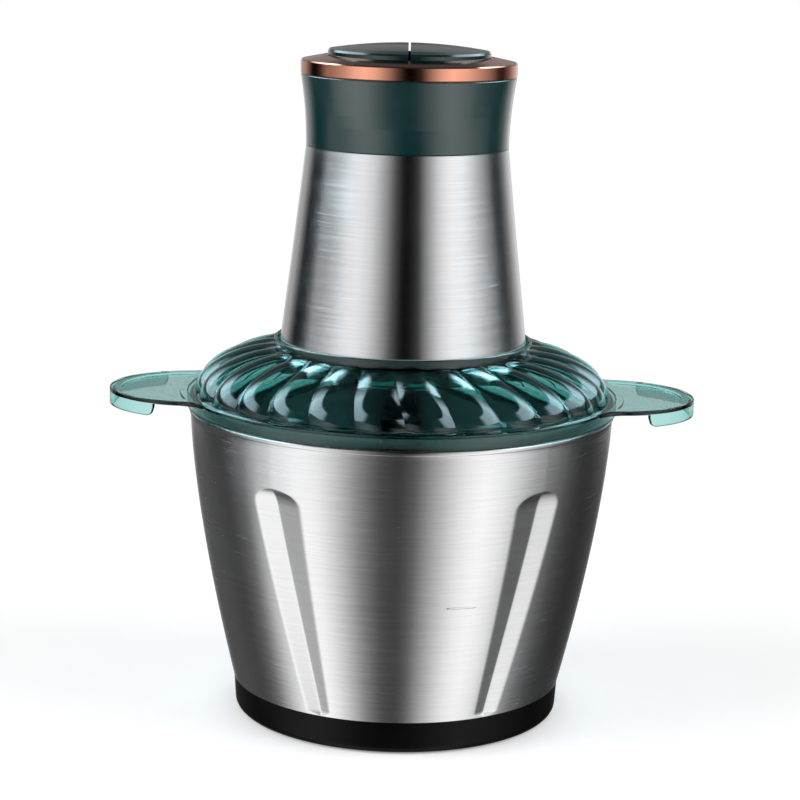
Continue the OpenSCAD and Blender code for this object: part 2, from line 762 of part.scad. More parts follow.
// Crest line of the dome, its outward normal, and the depth of the creases along it
function dome_crest(t) = [collar_out + (dome_foot_r - collar_out) * pow(cos(t), dome_fall), lid_top + dome_h * sin(t)];
function dome_normal(t) = let (n = [pow(cos(t), 2 - dome_fall) / dome_fall / (dome_foot_r - collar_out),
    sin(t) / dome_h]) n / norm(n);
function lobe_fade(t) = sqrt(max(0, 1 - pow(t / 86, 6)));
lobe_steps = 6;
dome_steps = lobe_count * lobe_steps;
function dome_ring(t, thick) = [for (j = [0:dome_steps - 1]) let (
        x = 2 * (j % lobe_steps) / lobe_steps - 1,
        a = 360 * j / dome_steps + lobe_swirl * (1 - t / 90),
        p = dome_crest(t) - dome_normal(t) * (thick + lobe_depth * lobe_fade(t) * x * x))
    [p.x * cos(a), p.x * sin(a), p.y]];
function dome_foot(thick, z) = [for (p = dome_ring(0, thick)) [p.x, p.y, z]];
function dome_end(z) = [for (j = [0:dome_steps - 1]) let (a = 360 * j / dome_steps)
    [(collar_out - collar_wall / 2) * cos(a), (collar_out - collar_wall / 2) * sin(a), z]];

module dome() {
    skin(concat(
        [dome_foot(0, lid_top - flange_t / 2)],
        [for (t = [4, 14, 27, 41, 55, 68, 78, 84]) dome_ring(t, 0)],
        [dome_end(dome_top), dome_end(dome_top - dome_t)],
        [for (t = [84, 66, 43, 18]) dome_ring(t, dome_t)],
        [dome_foot(dome_t, lid_top - flange_t / 2)]), loop = true);
}

// Plan of one ear with its hollow corners
module ear_plan(inset) {
    translate([ear_x, 0]) circle(r = ear_r - inset);
    for (s = [-1, 1]) difference() {
        polygon([[0, 0], [fillet_x, s * fillet_y], [ear_x, 0]]);
        translate([fillet_x, s * fillet_y]) circle(r = ear_fillet + inset);
    }
}

module ear() {
    translate([0, 0, lid_top - flange_t]) linear_extrude(flange_t) difference() {
        ear_plan(0);
        circle(r = flange_r - 1);
    }
    translate([0, 0, lid_top - flange_t - ear_lip_h]) linear_extrude(ear_lip_h + 0.5) intersection() {
        translate([ear_x, 0]) difference() {
            circle(r = ear_r);
            circle(r = ear_r - ear_lip_t);
        }
        translate([ear_lip_x, -ear_r]) square([ear_r, 2 * ear_r]);
    }
}

module ear_field() {
    translate([0, 0, lid_top - ear_recess]) linear_extrude(2) difference() {
        translate([ear_x, 0]) circle(r = ear_r - ear_border);
        circle(r = flange_r + 3);
    }
}

module flange() {
    in_r = dome_foot_r - dome_t - lobe_depth - 0.6;
    rotate_extrude() polygon([
        [in_r, lid_top - flange_t], [plug_r - plug_wall, lid_top - flange_t], [plug_r - plug_wall, plug_low],
        [plug_r - 0.8, plug_low], [plug_r, plug_low + 0.8], [plug_r, lid_top - flange_t],
        [skirt_r, lid_top - flange_t], [skirt_r, lid_low], [flange_r - 0.5, lid_low],
        [flange_r, lid_low + 0.5], [flange_r, lid_top], [in_r, lid_top]]);
}

module lid_cover() {
    color([0.45, 0.68, 0.66, 0.5]) difference() {
        union() {
            dome();
            flange();
            for (s = [0, 180]) rotate(s) ear();
            rotate_extrude() polygon([
                [drive_hole_r, seat_z - guard_len], [drive_hole_r + guard_wall, seat_z - guard_len],
                [drive_hole_r + guard_wall, seat_z - seat_t], [collar_out, seat_z - seat_t],
                [collar_out, collar_top - 0.4], [collar_out - 0.4, collar_top], [collar_in, collar_top],
                [collar_in, seat_z], [drive_hole_r, seat_z]]);
        }
        for (s = [0, 180]) rotate(s) ear_field();
    }
}

module lid_gasket() {
    out = bowl_rim_r - bowl_t - gasket_gap;
    top = bowl_h - 0.4;
    color([0.85, 0.87, 0.85]) rotate_extrude() polygon([
        [plug_r + fit_gap, top - gasket_h], [out - 1.6, top - gasket_h], [out, top - gasket_h + 1],
        [out - 0.8, top - gasket_h + 1.4], [out, top - 1], [out - 0.8, top],
        [plug_r + fit_gap, top]]);
}

// Motor head, outside

module housing_shell() {
    zs = [for (i = [0:8]) head_z + housing_h * i / 8];
    color([0.74, 0.74, 0.75]) rotate_extrude() polygon(concat(
        [for (z = zs) [housing_r(z), z]],
        [for (i = [8:-1:0]) [housing_r(zs[i]) - housing_t, zs[i]]]));
}

module neck_band() {
    zs = [for (i = [0:6]) neck_z + neck_bevel + (neck_h - 2 * neck_bevel) * i / 6];
    spigot_r = housing_top_r - housing_t - fit_gap;
    ledge_r = neck_r(deck_z) - neck_t - ledge_w;
    color([0.06, 0.2, 0.19]) difference() {
        rotate_extrude() polygon(concat(
            [[spigot_r - neck_t, neck_z - neck_spigot], [spigot_r, neck_z - neck_spigot], [spigot_r, neck_z],
             [housing_top_r - neck_bevel, neck_z]],
            [for (z = zs) [neck_r(z), z]],
            [[neck_top_r - neck_bevel, neck_top], [neck_top_r - neck_t, neck_top],
             [neck_top_r - neck_t, neck_top - trim_spigot - rest_gap],
             [neck_r(deck_z) - neck_t, deck_z], [ledge_r, deck_z], [ledge_r, deck_z - ledge_h],
             [neck_r(deck_z - ledge_h - 3) - neck_t, deck_z - ledge_h - 3]],
            [[spigot_r - neck_t, neck_z + 2]]));
        translate([0, neck_r(inlet_z), inlet_z]) rotate([90, 0, 0]) translate([0, 0, -10])
            cylinder(r = inlet_body_r + fit_gap, h = 10 + neck_t + 10);
        for (a = [45:90:359]) rotate(a) translate([deck_screw_x, 0, deck_z - ledge_h - 1])
            cylinder(r = screw_r + fit_gap, h = ledge_h + 2);
    }
}
deck_screw_x = neck_r(deck_z) - neck_t - ledge_w / 2 - 0.9;

module cord_gland() {
    y_out = neck_r(inlet_z) + inlet_flange_t + 0.6;
    fr = inlet_body_r + inlet_flange;
    color([0.05, 0.05, 0.055]) difference() {
        union() {
            translate([0, y_out, inlet_z]) rotate([90, 0, 0]) cylinder(r = inlet_body_r, h = y_out - gland_in);
            translate([0, gland_seat, inlet_z]) rotate([90, 0, 0]) cylinder(r = fr, h = inlet_flange_t);
            difference() {
                translate([0, y_out, inlet_z]) rotate([90, 0, 0]) cylinder(r = fr, h = inlet_flange_t + 2);
                translate([0, 0, inlet_z - 2 * fr]) cylinder(r = neck_r(inlet_z + fr) + fit_gap, h = 4 * fr);
            }
        }
        translate([0, big, inlet_z]) rotate([90, 0, 0]) cylinder(r = inlet_bore_r, h = 2 * big);
    }
}

module trim_ring() {
    ro = neck_top_r;
    so = neck_top_r - neck_t - fit_gap;
    color([0.72, 0.45, 0.36]) rotate_extrude() polygon([
        [so - trim_t, neck_top - trim_spigot], [so, neck_top - trim_spigot], [so, neck_top],
        [ro - 0.4, neck_top], [ro, neck_top + 0.4], [ro, trim_side_top - 0.5], [ro - 0.5, trim_side_top],
        [trim_open_r + 1, trim_top], [trim_open_r + 0.3, trim_top - 0.2], [trim_open_r, trim_top - 0.6],
        [trim_open_r, trim_top - 4], [trim_open_r + trim_t, trim_top - 4],
        [trim_open_r + trim_t, trim_top - trim_t - 0.6], [ro - trim_t - 0.6, trim_side_top - trim_t],
        [so - trim_t, trim_side_top - trim_t - 0.4]]);
}

module button_deck() {
    color([0.12, 0.12, 0.13]) difference() {
        union() {
            disc(deck_r, deck_z, deck_top);
            for (s = [-1, 1], y = [-1, 1]) translate([s * (stem_x + 8), y * 8, switch_z])
                cylinder(r = 2.2, h = deck_z - switch_z + eps);
        }
        for (s = [-1, 1]) {
            translate([s * stem_x, 0, deck_z - 1]) cylinder(r = stem_r + slide_gap, h = deck_t + 2);
            for (y = [-1, 1]) translate([s * peg_x, y * peg_y, deck_z - 1])
                cylinder(r = peg_r + slide_gap, h = deck_t + 2);
        }
        for (a = [45:90:359]) rotate(a) translate([deck_screw_x, 0, deck_z - 1])
            cylinder(r = screw_r + fit_gap, h = deck_t + 2);
    }
}

module deck_screws() {
    color([0.6, 0.6, 0.62]) for (a = [45:90:359]) rotate(a) translate([deck_screw_x, 0, deck_top])
        screw(deck_t + ledge_h - 1);
}

// Buttons

module button_plan(r, inset) {
    intersection() {
        circle(r = r);
        translate([button_split / 2 + inset, -big / 2]) square([big / 2, big]);
    }
}

module button() {
    crown = (button_r * button_r + button_crown * button_crown) / (2 * button_crown);
    stem_low = plunger_top;
    union() {
        intersection() {
            rotate_extrude() polygon(concat(
                [[0, button_low], [button_r, button_low], [button_r, button_side_top - 0.8]],
                [for (i = [0:6]) let (r = (button_r - 0.6) * (6 - i) / 6)
                    [r, button_side_top + button_crown - crown + sqrt(crown * crown - r * r)]]));
            translate([0, 0, button_low]) linear_extrude(big) button_plan(button_r + 1, 0);
            difference() {
                disc(big, button_low, button_low + big);
                translate([0, 0, button_low - 1]) linear_extrude(button_roof - button_low + 1)
                    button_plan(button_r - button_t, button_t);
            }
        }
        translate([stem_x, 0, stem_low + 2]) cylinder(r = stem_r, h = button_roof - stem_low - 2 + eps);
        translate([stem_x, 0, stem_low]) cylinder(r = plunger_r + 0.3, h = 2 + eps);
        for (y = [-1, 1]) translate([peg_x, y * peg_y, 0]) {
            disc(peg_r, deck_z - 2.4, button_roof + eps);
            translate([0, 0, deck_z - 2.4]) cylinder(r1 = peg_r - 0.4, r2 = peg_r + 0.9, h = 2);
            disc(peg_r + 0.9, deck_z - 0.4, deck_z - 0.1);
        }
    }
}

module right_button() { color([0.03, 0.13, 0.12]) button(); }

module left_button() { color([0.03, 0.13, 0.12]) mirror([1, 0, 0]) button(); }

module plunger() {
    translate([stem_x, 0, 0]) disc(plunger_r, plunger_low, plunger_top);
}

module right_plunger() { color([0.7, 0.1, 0.1]) plunger(); }

module left_plunger() { color([0.7, 0.1, 0.1]) mirror([1, 0, 0]) plunger(); }

// A coil with closed end turns, standing on the deck
function spring_z(s) = let (e = 0.16)
    s < e ? 0.5 * s / e * 0.1 : s > 1 - e ? 1 - 0.5 * (1 - s) / e * 0.1 : 0.05 + 0.9 * (s - e) / (1 - 2 * e);
module spring() {
    steps = round(spring_turns * 14);
    span = spring_h - 2 * spring_wire_r - 0.1;
    translate([stem_x, 0, deck_top + spring_wire_r + 0.05]) skin([for (i = [0:steps]) let (
            s = i / steps, a = 360 * spring_turns * s)
        [for (j = [0:5]) let (b = 60 * j, r = spring_r + spring_wire_r * cos(b))
            [r * cos(a), r * sin(a), span * spring_z(s) - spring_wire_r * sin(b)]]]);
}

module right_spring() { color([0.7, 0.7, 0.72]) spring(); }

module left_spring() { color([0.7, 0.7, 0.72]) mirror([1, 0, 0]) spring(); }

module micro_switches() {
    color([0.1, 0.1, 0.11]) for (s = [-1, 1]) translate([s * stem_x, 0, 0]) difference() {
        union() {
            translate([-switch_w / 2, -switch_len / 2, switch_z]) cube([switch_w, switch_len, switch_h]);
            for (y = [-1, 0, 1]) translate([-0.4, y * (switch_len / 2 - 2.5) - 1.2, board_z - 2])
                cube([0.8, 2.4, 2 + board_t + eps]);
        }
        disc(plunger_r + slide_gap, plunger_low - button_travel - 0.4, switch_top + 1);
    }
}

module circuit_board() {
    half_x = stem_x + 12;
    half_y = switch_len / 2 + 4;
    color([0.1, 0.35, 0.2]) difference() {
        translate([-half_x, -half_y, board_z]) cube([2 * half_x, 2 * half_y, board_t]);
        for (s = [-1, 1], y = [-1, 0, 1])
            translate([s * stem_x - 0.4 - fit_gap, y * (switch_len / 2 - 2.5) - 1.2 - fit_gap, board_z - 1])
                cube([0.8 + 2 * fit_gap, 2.4 + 2 * fit_gap, board_t + 2]);
    }
}

// Motor head, underside

cap_screw_x = (carrier_r + ring_out_r) / 2;
cap_r = housing_r(head_z + cap_t) - housing_t - fit_gap;

module base_cap() {
    color([0.1, 0.1, 0.11]) difference() {
        disc(cap_r, head_z, cap_top);
        disc(bush_r + fit_gap, head_z - 1, cap_top + 1);
        for (a = [45:90:359]) rotate(a) translate([cap_screw_x, 0, 0]) {
            disc(screw_r + fit_gap, head_z - 1, cap_top + 1);
            disc(screw_head_r + 0.3, head_z - 1, head_z + screw_head_h + 0.2);
        }
        for (a = [0:15:359]) rotate(a) translate([gearbox_r + 3, -1.2, head_z - 1])
            cube([cap_r - gearbox_r - 8, 2.4, cap_t + 2]);
    }
}

module cap_screws() {
    color([0.6, 0.6, 0.62]) for (a = [45:90:359]) rotate(a)
        translate([cap_screw_x, 0, head_z + screw_head_h + 0.2]) mirror([0, 0, 1])
            screw(cap_t + gearbox_floor - screw_head_h - 0.8);
}

module oil_seal() {
    color([0.25, 0.12, 0.08]) rotate_extrude() polygon([
        [output_r + run_gap, head_z + 1.2], [output_r + 1.4, head_z + 0.2], [bush_r, head_z + 0.2],
        [bush_r, cap_top], [output_r + 1.4, cap_top], [output_r + run_gap, head_z + 1.8]]);
}

module output_bush() {
    color([0.72, 0.55, 0.3]) tube(bush_r, output_r + run_gap, cap_top, bush_top);
}

module gearbox_housing() {
    color([0.75, 0.76, 0.78]) difference() {
        union() {
            disc(gearbox_r, cap_top, cover_z);
            for (a = [0:90:359]) rotate(a) translate([0, 0, cover_z - lug_t]) linear_extrude(lug_t) hull() {
                translate([frame_screw_x, 0]) circle(r = lug_r, $fn = 32);
                translate([gearbox_r - 4, 0]) circle(r = lug_r + 1, $fn = 32);
            }
        }
        disc(bush_r + fit_gap, cap_top - 1, cover_z + 1);
        disc(carrier_r + 1.5, gear_floor_top, cover_z + 1);
        disc(gearbox_in, gear_z, cover_z + 1);
        for (a = [0:90:359]) rotate(a) translate([frame_screw_x, 0, cover_z - lug_t - 1])
            cylinder(r = screw_r + fit_gap, h = lug_t + 2);
        for (a = [45:90:359]) rotate(a) translate([cap_screw_x, 0, cap_top - 1])
            cylinder(r = screw_r + fit_gap, h = gearbox_floor + 0.6);
    }
}

module ring_gear() {
    color([0.85, 0.84, 0.78]) translate([0, 0, gear_z]) linear_extrude(cover_z - gear_z) difference() {
        circle(r = ring_out_r);
        polygon(gear_points(ring_teeth, 1.2, 0.7, -backlash, 3));
    }
}

module gearbox_cover() {
    color([0.75, 0.76, 0.78]) difference() {
        union() {
            disc(gearbox_r, cover_z, cover_top);
            disc(bearing_r + 3, cover_z, bearing_top - 0.5);
            for (a = [0:90:359]) rotate(a) translate([0, 0, cover_z]) linear_extrude(cover_t) hull() {
                translate([frame_screw_x, 0]) circle(r = lug_r, $fn = 32);
                translate([gearbox_r - 4, 0]) circle(r = lug_r + 1, $fn = 32);
            }
        }
        disc(bearing_r + fit_gap, cover_z - 1, bearing_top + 1);
        for (a = [0:90:359]) rotate(a) translate([frame_screw_x, 0, cover_z - 1])
            cylinder(r = screw_r + fit_gap, h = cover_t + 2);
    }
}

module bearing(z) {
    mid = (shaft_r + bearing_r) / 2;
    color([0.7, 0.7, 0.72]) rotate_extrude() difference() {
        translate([shaft_r + fit_gap, z]) square([bearing_r - shaft_r - fit_gap, bearing_w]);
        for (y = [z - 1, z + bearing_w - 0.5]) translate([mid - 1.8, y]) square([3.6, 1.5]);
    }
}

module lower_bearing() { bearing(cover_z); }

module upper_bearing() { bearing(bracket_z); }

module planet_gear(i) {
    color([0.85, 0.84, 0.78]) rotate(120 * (i - 1)) translate([planet_dist, 0, gear_z]) difference() {
        linear_extrude(gear_w) polygon(gear_points(planet_teeth, 0.9, 1.2, backlash));
        translate([0, 0, -1]) cylinder(r = pin_r + run_gap, h = gear_w + 2);
    }
}

module planet_gear_1() { planet_gear(1); }

module planet_gear_2() { planet_gear(2); }

module planet_gear_3() { planet_gear(3); }

module planet_carrier() {
    color([0.6, 0.6, 0.63]) difference() {
        disc(carrier_r, carrier_z, carrier_top);
        disc(output_r + fit_gap, carrier_z - 1, carrier_top + 1);
        for (a = [0:120:359]) rotate(a) {
            translate([planet_dist, 0, carrier_z - 1]) cylinder(r = pin_r + fit_gap, h = carrier_t + 2);
            rotate(60) translate([planet_dist - 2, 0, carrier_z - 1]) cylinder(r = 4, h = carrier_t + 2);
        }
    }
}

module planet_pins() {
    color([0.65, 0.65, 0.67]) for (a = [0:120:359]) rotate(a) translate([planet_dist, 0, 0])
        disc(pin_r, carrier_z, gear_top + thrust_gap);
}

module output_shaft() {
    color([0.68, 0.68, 0.7]) difference() {
        union() {
            disc(output_r, coupler_mid, carrier_top);
            disc(output_tip_r, coupler_z + 2, coupler_mid + eps);
        }
        tube(output_r + 1, output_r - 0.8, clip_z - 0.1, clip_z + clip_t + 0.1);
    }
}

module shaft_clip() {
    color([0.5, 0.5, 0.52]) difference() {
        tube(output_r + 2.2, output_r - 0.75, clip_z, clip_z + clip_t);
        translate([0, -2.2, clip_z - 1]) cube([output_r + 5, 4.4, clip_t + 2]);
    }
}

module drive_coupler() {
    color([0.15, 0.15, 0.16]) difference() {
        union() {
            hexagon(coupler_af, coupler_z + 1, coupler_mid);
            translate([0, 0, coupler_z]) cylinder(r1 = coupler_af / 2 - 1.2, r2 = coupler_af / 2 - 0.2, h = 1 + eps);
            disc(output_r + 2.5, coupler_mid - eps, coupler_top);
            disc(coupler_af / sqrt(3) + 1.6, coupler_mid - 1, coupler_mid + 1);
        }
        disc(output_tip_r + fit_gap, coupler_z + 2 - fit_gap, coupler_mid + 1);
        disc(output_r + fit_gap, coupler_mid, coupler_top + 1);
    }
}

// Motor

module rotor_shaft() {
    color([0.7, 0.7, 0.72]) disc(shaft_r, gear_z, bracket_z + bearing_w);
}

module sun_gear() {
    color([0.65, 0.65, 0.67]) difference() {
        translate([0, 0, gear_z]) linear_extrude(gear_w + thrust_gap)
            polygon(gear_points(sun_teeth, 0.9, 1.2, backlash));
        disc(shaft_r + fit_gap, gear_z - 1, gear_top + 2);
    }
}

module cooling_fan() {
    color([0.2, 0.2, 0.21]) difference() {
        union() {
            disc(fan_r, fan_z, fan_z + fan_t);
            disc(shaft_r + 4, fan_z, fan_z + fan_h);
            for (i = [0:fan_blades - 1]) rotate(360 * i / fan_blades)
                translate([fan_r - fan_rim - fan_blade_l, 0, fan_z + fan_t - eps]) rotate(fan_lean)
                    translate([0, -fan_t / 2, 0]) cube([fan_blade_l, fan_t, fan_h - fan_t]);
        }
        disc(shaft_r + fit_gap, fan_z - 1, fan_z + fan_h + 1);
    }
}

slot_r = 2.7;
slot_x = armature_r - slot_r - 1.6;

module armature_core() {
    color([0.35, 0.36, 0.38]) translate([0, 0, stack_z]) linear_extrude(stack_h) difference() {
        circle(r = armature_r);
        circle(r = shaft_r + fit_gap);
        for (i = [0:slot_count - 1]) rotate(360 * i / slot_count) {
            translate([slot_x, 0]) circle(r = slot_r);
            translate([slot_x, -0.6]) square([armature_r, 1.2]);
        }
    }
}

module armature_windings() {
    wind_in = shaft_r + 2.5;
    color([0.72, 0.36, 0.18]) union() {
        for (i = [0:slot_count - 1]) rotate(360 * i / slot_count) translate([slot_x, 0, 0])
            disc(slot_r - fit_gap, stack_z - 1, stack_top + 1);
        for (z = [low_wind_z, stack_top + fit_gap]) rotate_extrude() translate([0, z]) polygon([
            [wind_in, 1.5], [wind_in + 1.5, 0], [armature_r - 2.6, 0], [armature_r - 1.4, 1.5],
            [armature_r - 1.4, overhang - fit_gap - 1.5], [armature_r - 2.6, overhang - fit_gap],
            [wind_in + 1.5, overhang - fit_gap], [wind_in, overhang - fit_gap - 1.5]]);
    }
}

module commutator() {
    color([0.75, 0.42, 0.22]) difference() {
        disc(comm_r, comm_z, comm_z + comm_h);
        disc(shaft_r + fit_gap, comm_z - 1, comm_z + comm_h + 1);
        for (i = [0:comm_bars - 1]) rotate(360 * i / comm_bars)
            translate([comm_r - 1, -0.2, comm_z + 1.5]) cube([2, 0.4, comm_h]);
    }
}

coil_in = stator_bore_r + 2.4;
coil_out = stator_r - 4;

// Sector of a ring, from one angle to another
module sector(r0, r1, a0, a1, z0, z1) {
    rotate(a0) rotate_extrude(angle = a1 - a0) translate([r0, z0]) square([r1 - r0, z1 - z0]);
}

module stator_core() {
    color([0.42, 0.43, 0.45]) difference() {
        tube(stator_r, stator_bore_r, stack_z, stack_top);
        for (s = [0, 180]) rotate(s) {
            sector(coil_in - 0.4, coil_out + 0.4, 90 - slot_half_a, 90 + slot_half_a, stack_z - 1, stack_top + 1);
            sector(stator_bore_r - 1, coil_in, 90 - slot_mouth_a, 90 + slot_mouth_a, stack_z - 1, stack_top + 1);
        }
    }
}

module field_windings() {
    color([0.72, 0.36, 0.18]) for (s = [0, 180]) rotate(s) difference() {
        sector(coil_in, coil_out, coil_gap_a - 90, 90 - coil_gap_a, low_wind_z, top_wind_z);
        sector(coil_in - 1, coil_out + 1, -coil_leg_a, coil_leg_a, stack_z - fit_gap, stack_top + fit_gap);
    }
}

module motor_frame() {
    color([0.15, 0.15, 0.16]) difference() {
        union() {
            tube(frame_r, frame_in, cover_top, bracket_z);
            for (a = [0:90:359]) rotate(a) translate([0, 0, cover_top]) linear_extrude(lug_t) difference() {
                hull() {
                    translate([frame_screw_x, 0]) circle(r = lug_r, $fn = 32);
                    translate([frame_in, 0]) circle(r = lug_r + 1, $fn = 32);
                }
                circle(r = frame_r - 0.5);
            }
            for (a = [45:90:359]) rotate(a) intersection() {
                translate([frame_r - 0.5, -1.5, stack_z]) cube([30, 3, stack_h]);
                rotate_extrude() polygon([[0, stack_z - 1],
                    [housing_r(stack_z - 1) - housing_t - 2 * slide_gap, stack_z - 1],
                    [housing_r(stack_top + 1) - housing_t - 2 * slide_gap, stack_top + 1], [0, stack_top + 1]]);
            }
        }
        for (a = [0:90:359]) rotate(a) translate([frame_screw_x, 0, cover_top - 1])
            cylinder(r = screw_r + fit_gap, h = lug_t + 2);
        for (a = [22.5:45:359]) rotate(a) translate([frame_in - 2, -4, fan_z + 1])
            cube([frame_wall + 6, 8, fan_h]);
    }
}

module frame_screws() {
    color([0.6, 0.6, 0.62]) for (a = [0:90:359]) rotate(a)
        translate([frame_screw_x, 0, cover_top + lug_t]) screw(2 * lug_t + cover_t - 0.5);
}

module upper_bracket() {
    color([0.75, 0.76, 0.78]) difference() {
        union() {
            disc(frame_r, bracket_z, bracket_z + bracket_t);
            disc(bearing_r + 3, bracket_z, bracket_top);
        }
        disc(bearing_r + fit_gap, bracket_z - 1, bracket_z + bearing_w + fit_gap);
        translate([-frame_r, gland_in - rest_gap, bracket_z - 1]) cube([2 * frame_r, frame_r, bracket_t + 2]);
        for (a = [45:90:359]) rotate(a) translate([(bearing_r + frame_r) / 2 + 1.5, 0, bracket_z - 1])
            cylinder(r = 6, h = bracket_t + 2);
    }
}

brush_z = comm_z + comm_h / 2 - brush_h / 2;

module brush_holders() {
    color([0.75, 0.6, 0.3]) for (s = [0, 180]) rotate(s) difference() {
        translate([holder_in, -brush_w / 2 - holder_wall, brush_z - holder_wall])
            cube([holder_out - holder_in, brush_w + 2 * holder_wall, bracket_z - brush_z + holder_wall]);
        translate([holder_in - 1, -brush_w / 2 - fit_gap, brush_z - fit_gap])
            cube([holder_out - holder_in + 2, brush_w + 2 * fit_gap, brush_h + 2 * fit_gap]);
    }
}

module carbon_brushes() {
    color([0.12, 0.12, 0.12]) for (s = [0, 180]) rotate(s)
        translate([comm_r + run_gap, -brush_w / 2, brush_z]) cube([brush_len, brush_w, brush_h]);
}

bowl_shell();
base_ring();
bowl_spindle();
spindle_nut();
lid_cover();
lid_gasket();
housing_shell();
neck_band();
trim_ring();
button_deck();
base_cap();
oil_seal();
output_bush();
gearbox_housing();
ring_gear();
gearbox_cover();
lower_bearing();
motor_frame();
stator_core();
field_windings();
upper_bracket();
upper_bearing();
brush_holders();
carbon_brushes();
circuit_board();
micro_switches();
cord_gland();
cap_screws();
frame_screws();
deck_screws();
left_spring();
right_spring();
rotor_shaft();
armature_core();
armature_windings();
commutator();
cooling_fan();
sun_gear();
planet_carrier();
planet_pins();
output_shaft();
shaft_clip();
drive_coupler();
planet_gear_1();
planet_gear_2();
planet_gear_3();
left_button();
left_plunger();
right_button();
right_plunger();
blade_bearing();
blade_hub();
lower_blade();
upper_blade();
blade_spacer();
blade_nut();
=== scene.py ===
"""Dresses the electric food chopper.

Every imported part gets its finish. The pressed bowl with its level line, the clear lid and the return springs
are built here, and a small photo studio stands round them. Sizes are in millimetres unless a line says metres.
"""

from __future__ import annotations

import logging
import math
from dataclasses import dataclass, field
from enum import Enum
from typing import Any, Callable, Sequence

import bmesh
import bpy
from mathutils import Matrix, Vector


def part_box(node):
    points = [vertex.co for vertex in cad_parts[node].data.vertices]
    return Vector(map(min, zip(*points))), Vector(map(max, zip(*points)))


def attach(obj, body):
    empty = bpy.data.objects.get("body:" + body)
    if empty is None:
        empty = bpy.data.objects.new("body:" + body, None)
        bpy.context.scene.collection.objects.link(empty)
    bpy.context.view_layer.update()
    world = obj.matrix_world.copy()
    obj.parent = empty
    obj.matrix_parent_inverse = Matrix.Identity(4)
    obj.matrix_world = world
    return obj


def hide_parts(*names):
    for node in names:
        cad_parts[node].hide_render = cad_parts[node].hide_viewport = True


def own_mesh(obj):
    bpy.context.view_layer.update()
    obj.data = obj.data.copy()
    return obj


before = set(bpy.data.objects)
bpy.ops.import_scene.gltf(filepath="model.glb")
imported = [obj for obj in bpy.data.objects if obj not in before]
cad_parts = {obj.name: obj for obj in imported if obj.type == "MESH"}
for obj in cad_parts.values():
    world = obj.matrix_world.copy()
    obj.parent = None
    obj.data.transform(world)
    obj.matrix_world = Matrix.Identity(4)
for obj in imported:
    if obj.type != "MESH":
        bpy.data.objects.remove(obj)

Flat = tuple[float, float]
Spot = tuple[float, float, float]
Colour = tuple[float, float, float]

MM = 0.001
LOG = logging.getLogger("chopper")


def polar(radius: float, turn: float) -> Flat:
    """Gives the point at a radius and an angle in radians."""
    return (radius * math.cos(turn), radius * math.sin(turn))


def spaced(first: float, last: float, count: int) -> list[float]:
    """Gives the ends of count even steps from first to last."""
    return [first + (last - first) * i / count for i in range(count + 1)]


def arc(x: float, y: float, radius: float, angles: Sequence[float]) -> list[Flat]:
    """Gives the points of an arc round x, y at angles in degrees."""
    return [(x + dx, y + dy) for dx, dy in (polar(radius, math.radians(angle)) for angle in angles)]


class Spread(Enum):
    """Which way the lines of a brushed or turned surface run."""

    ROUND_AXIS = "round"
    ALONG_X = "along"


class Look(Enum):
    """How the surface of a moulding was left by its tool: the depth of its skin in metres."""

    POLISHED = 0.000003
    SATIN = 0.000013
    SPARKED = 0.000023


# Node trees


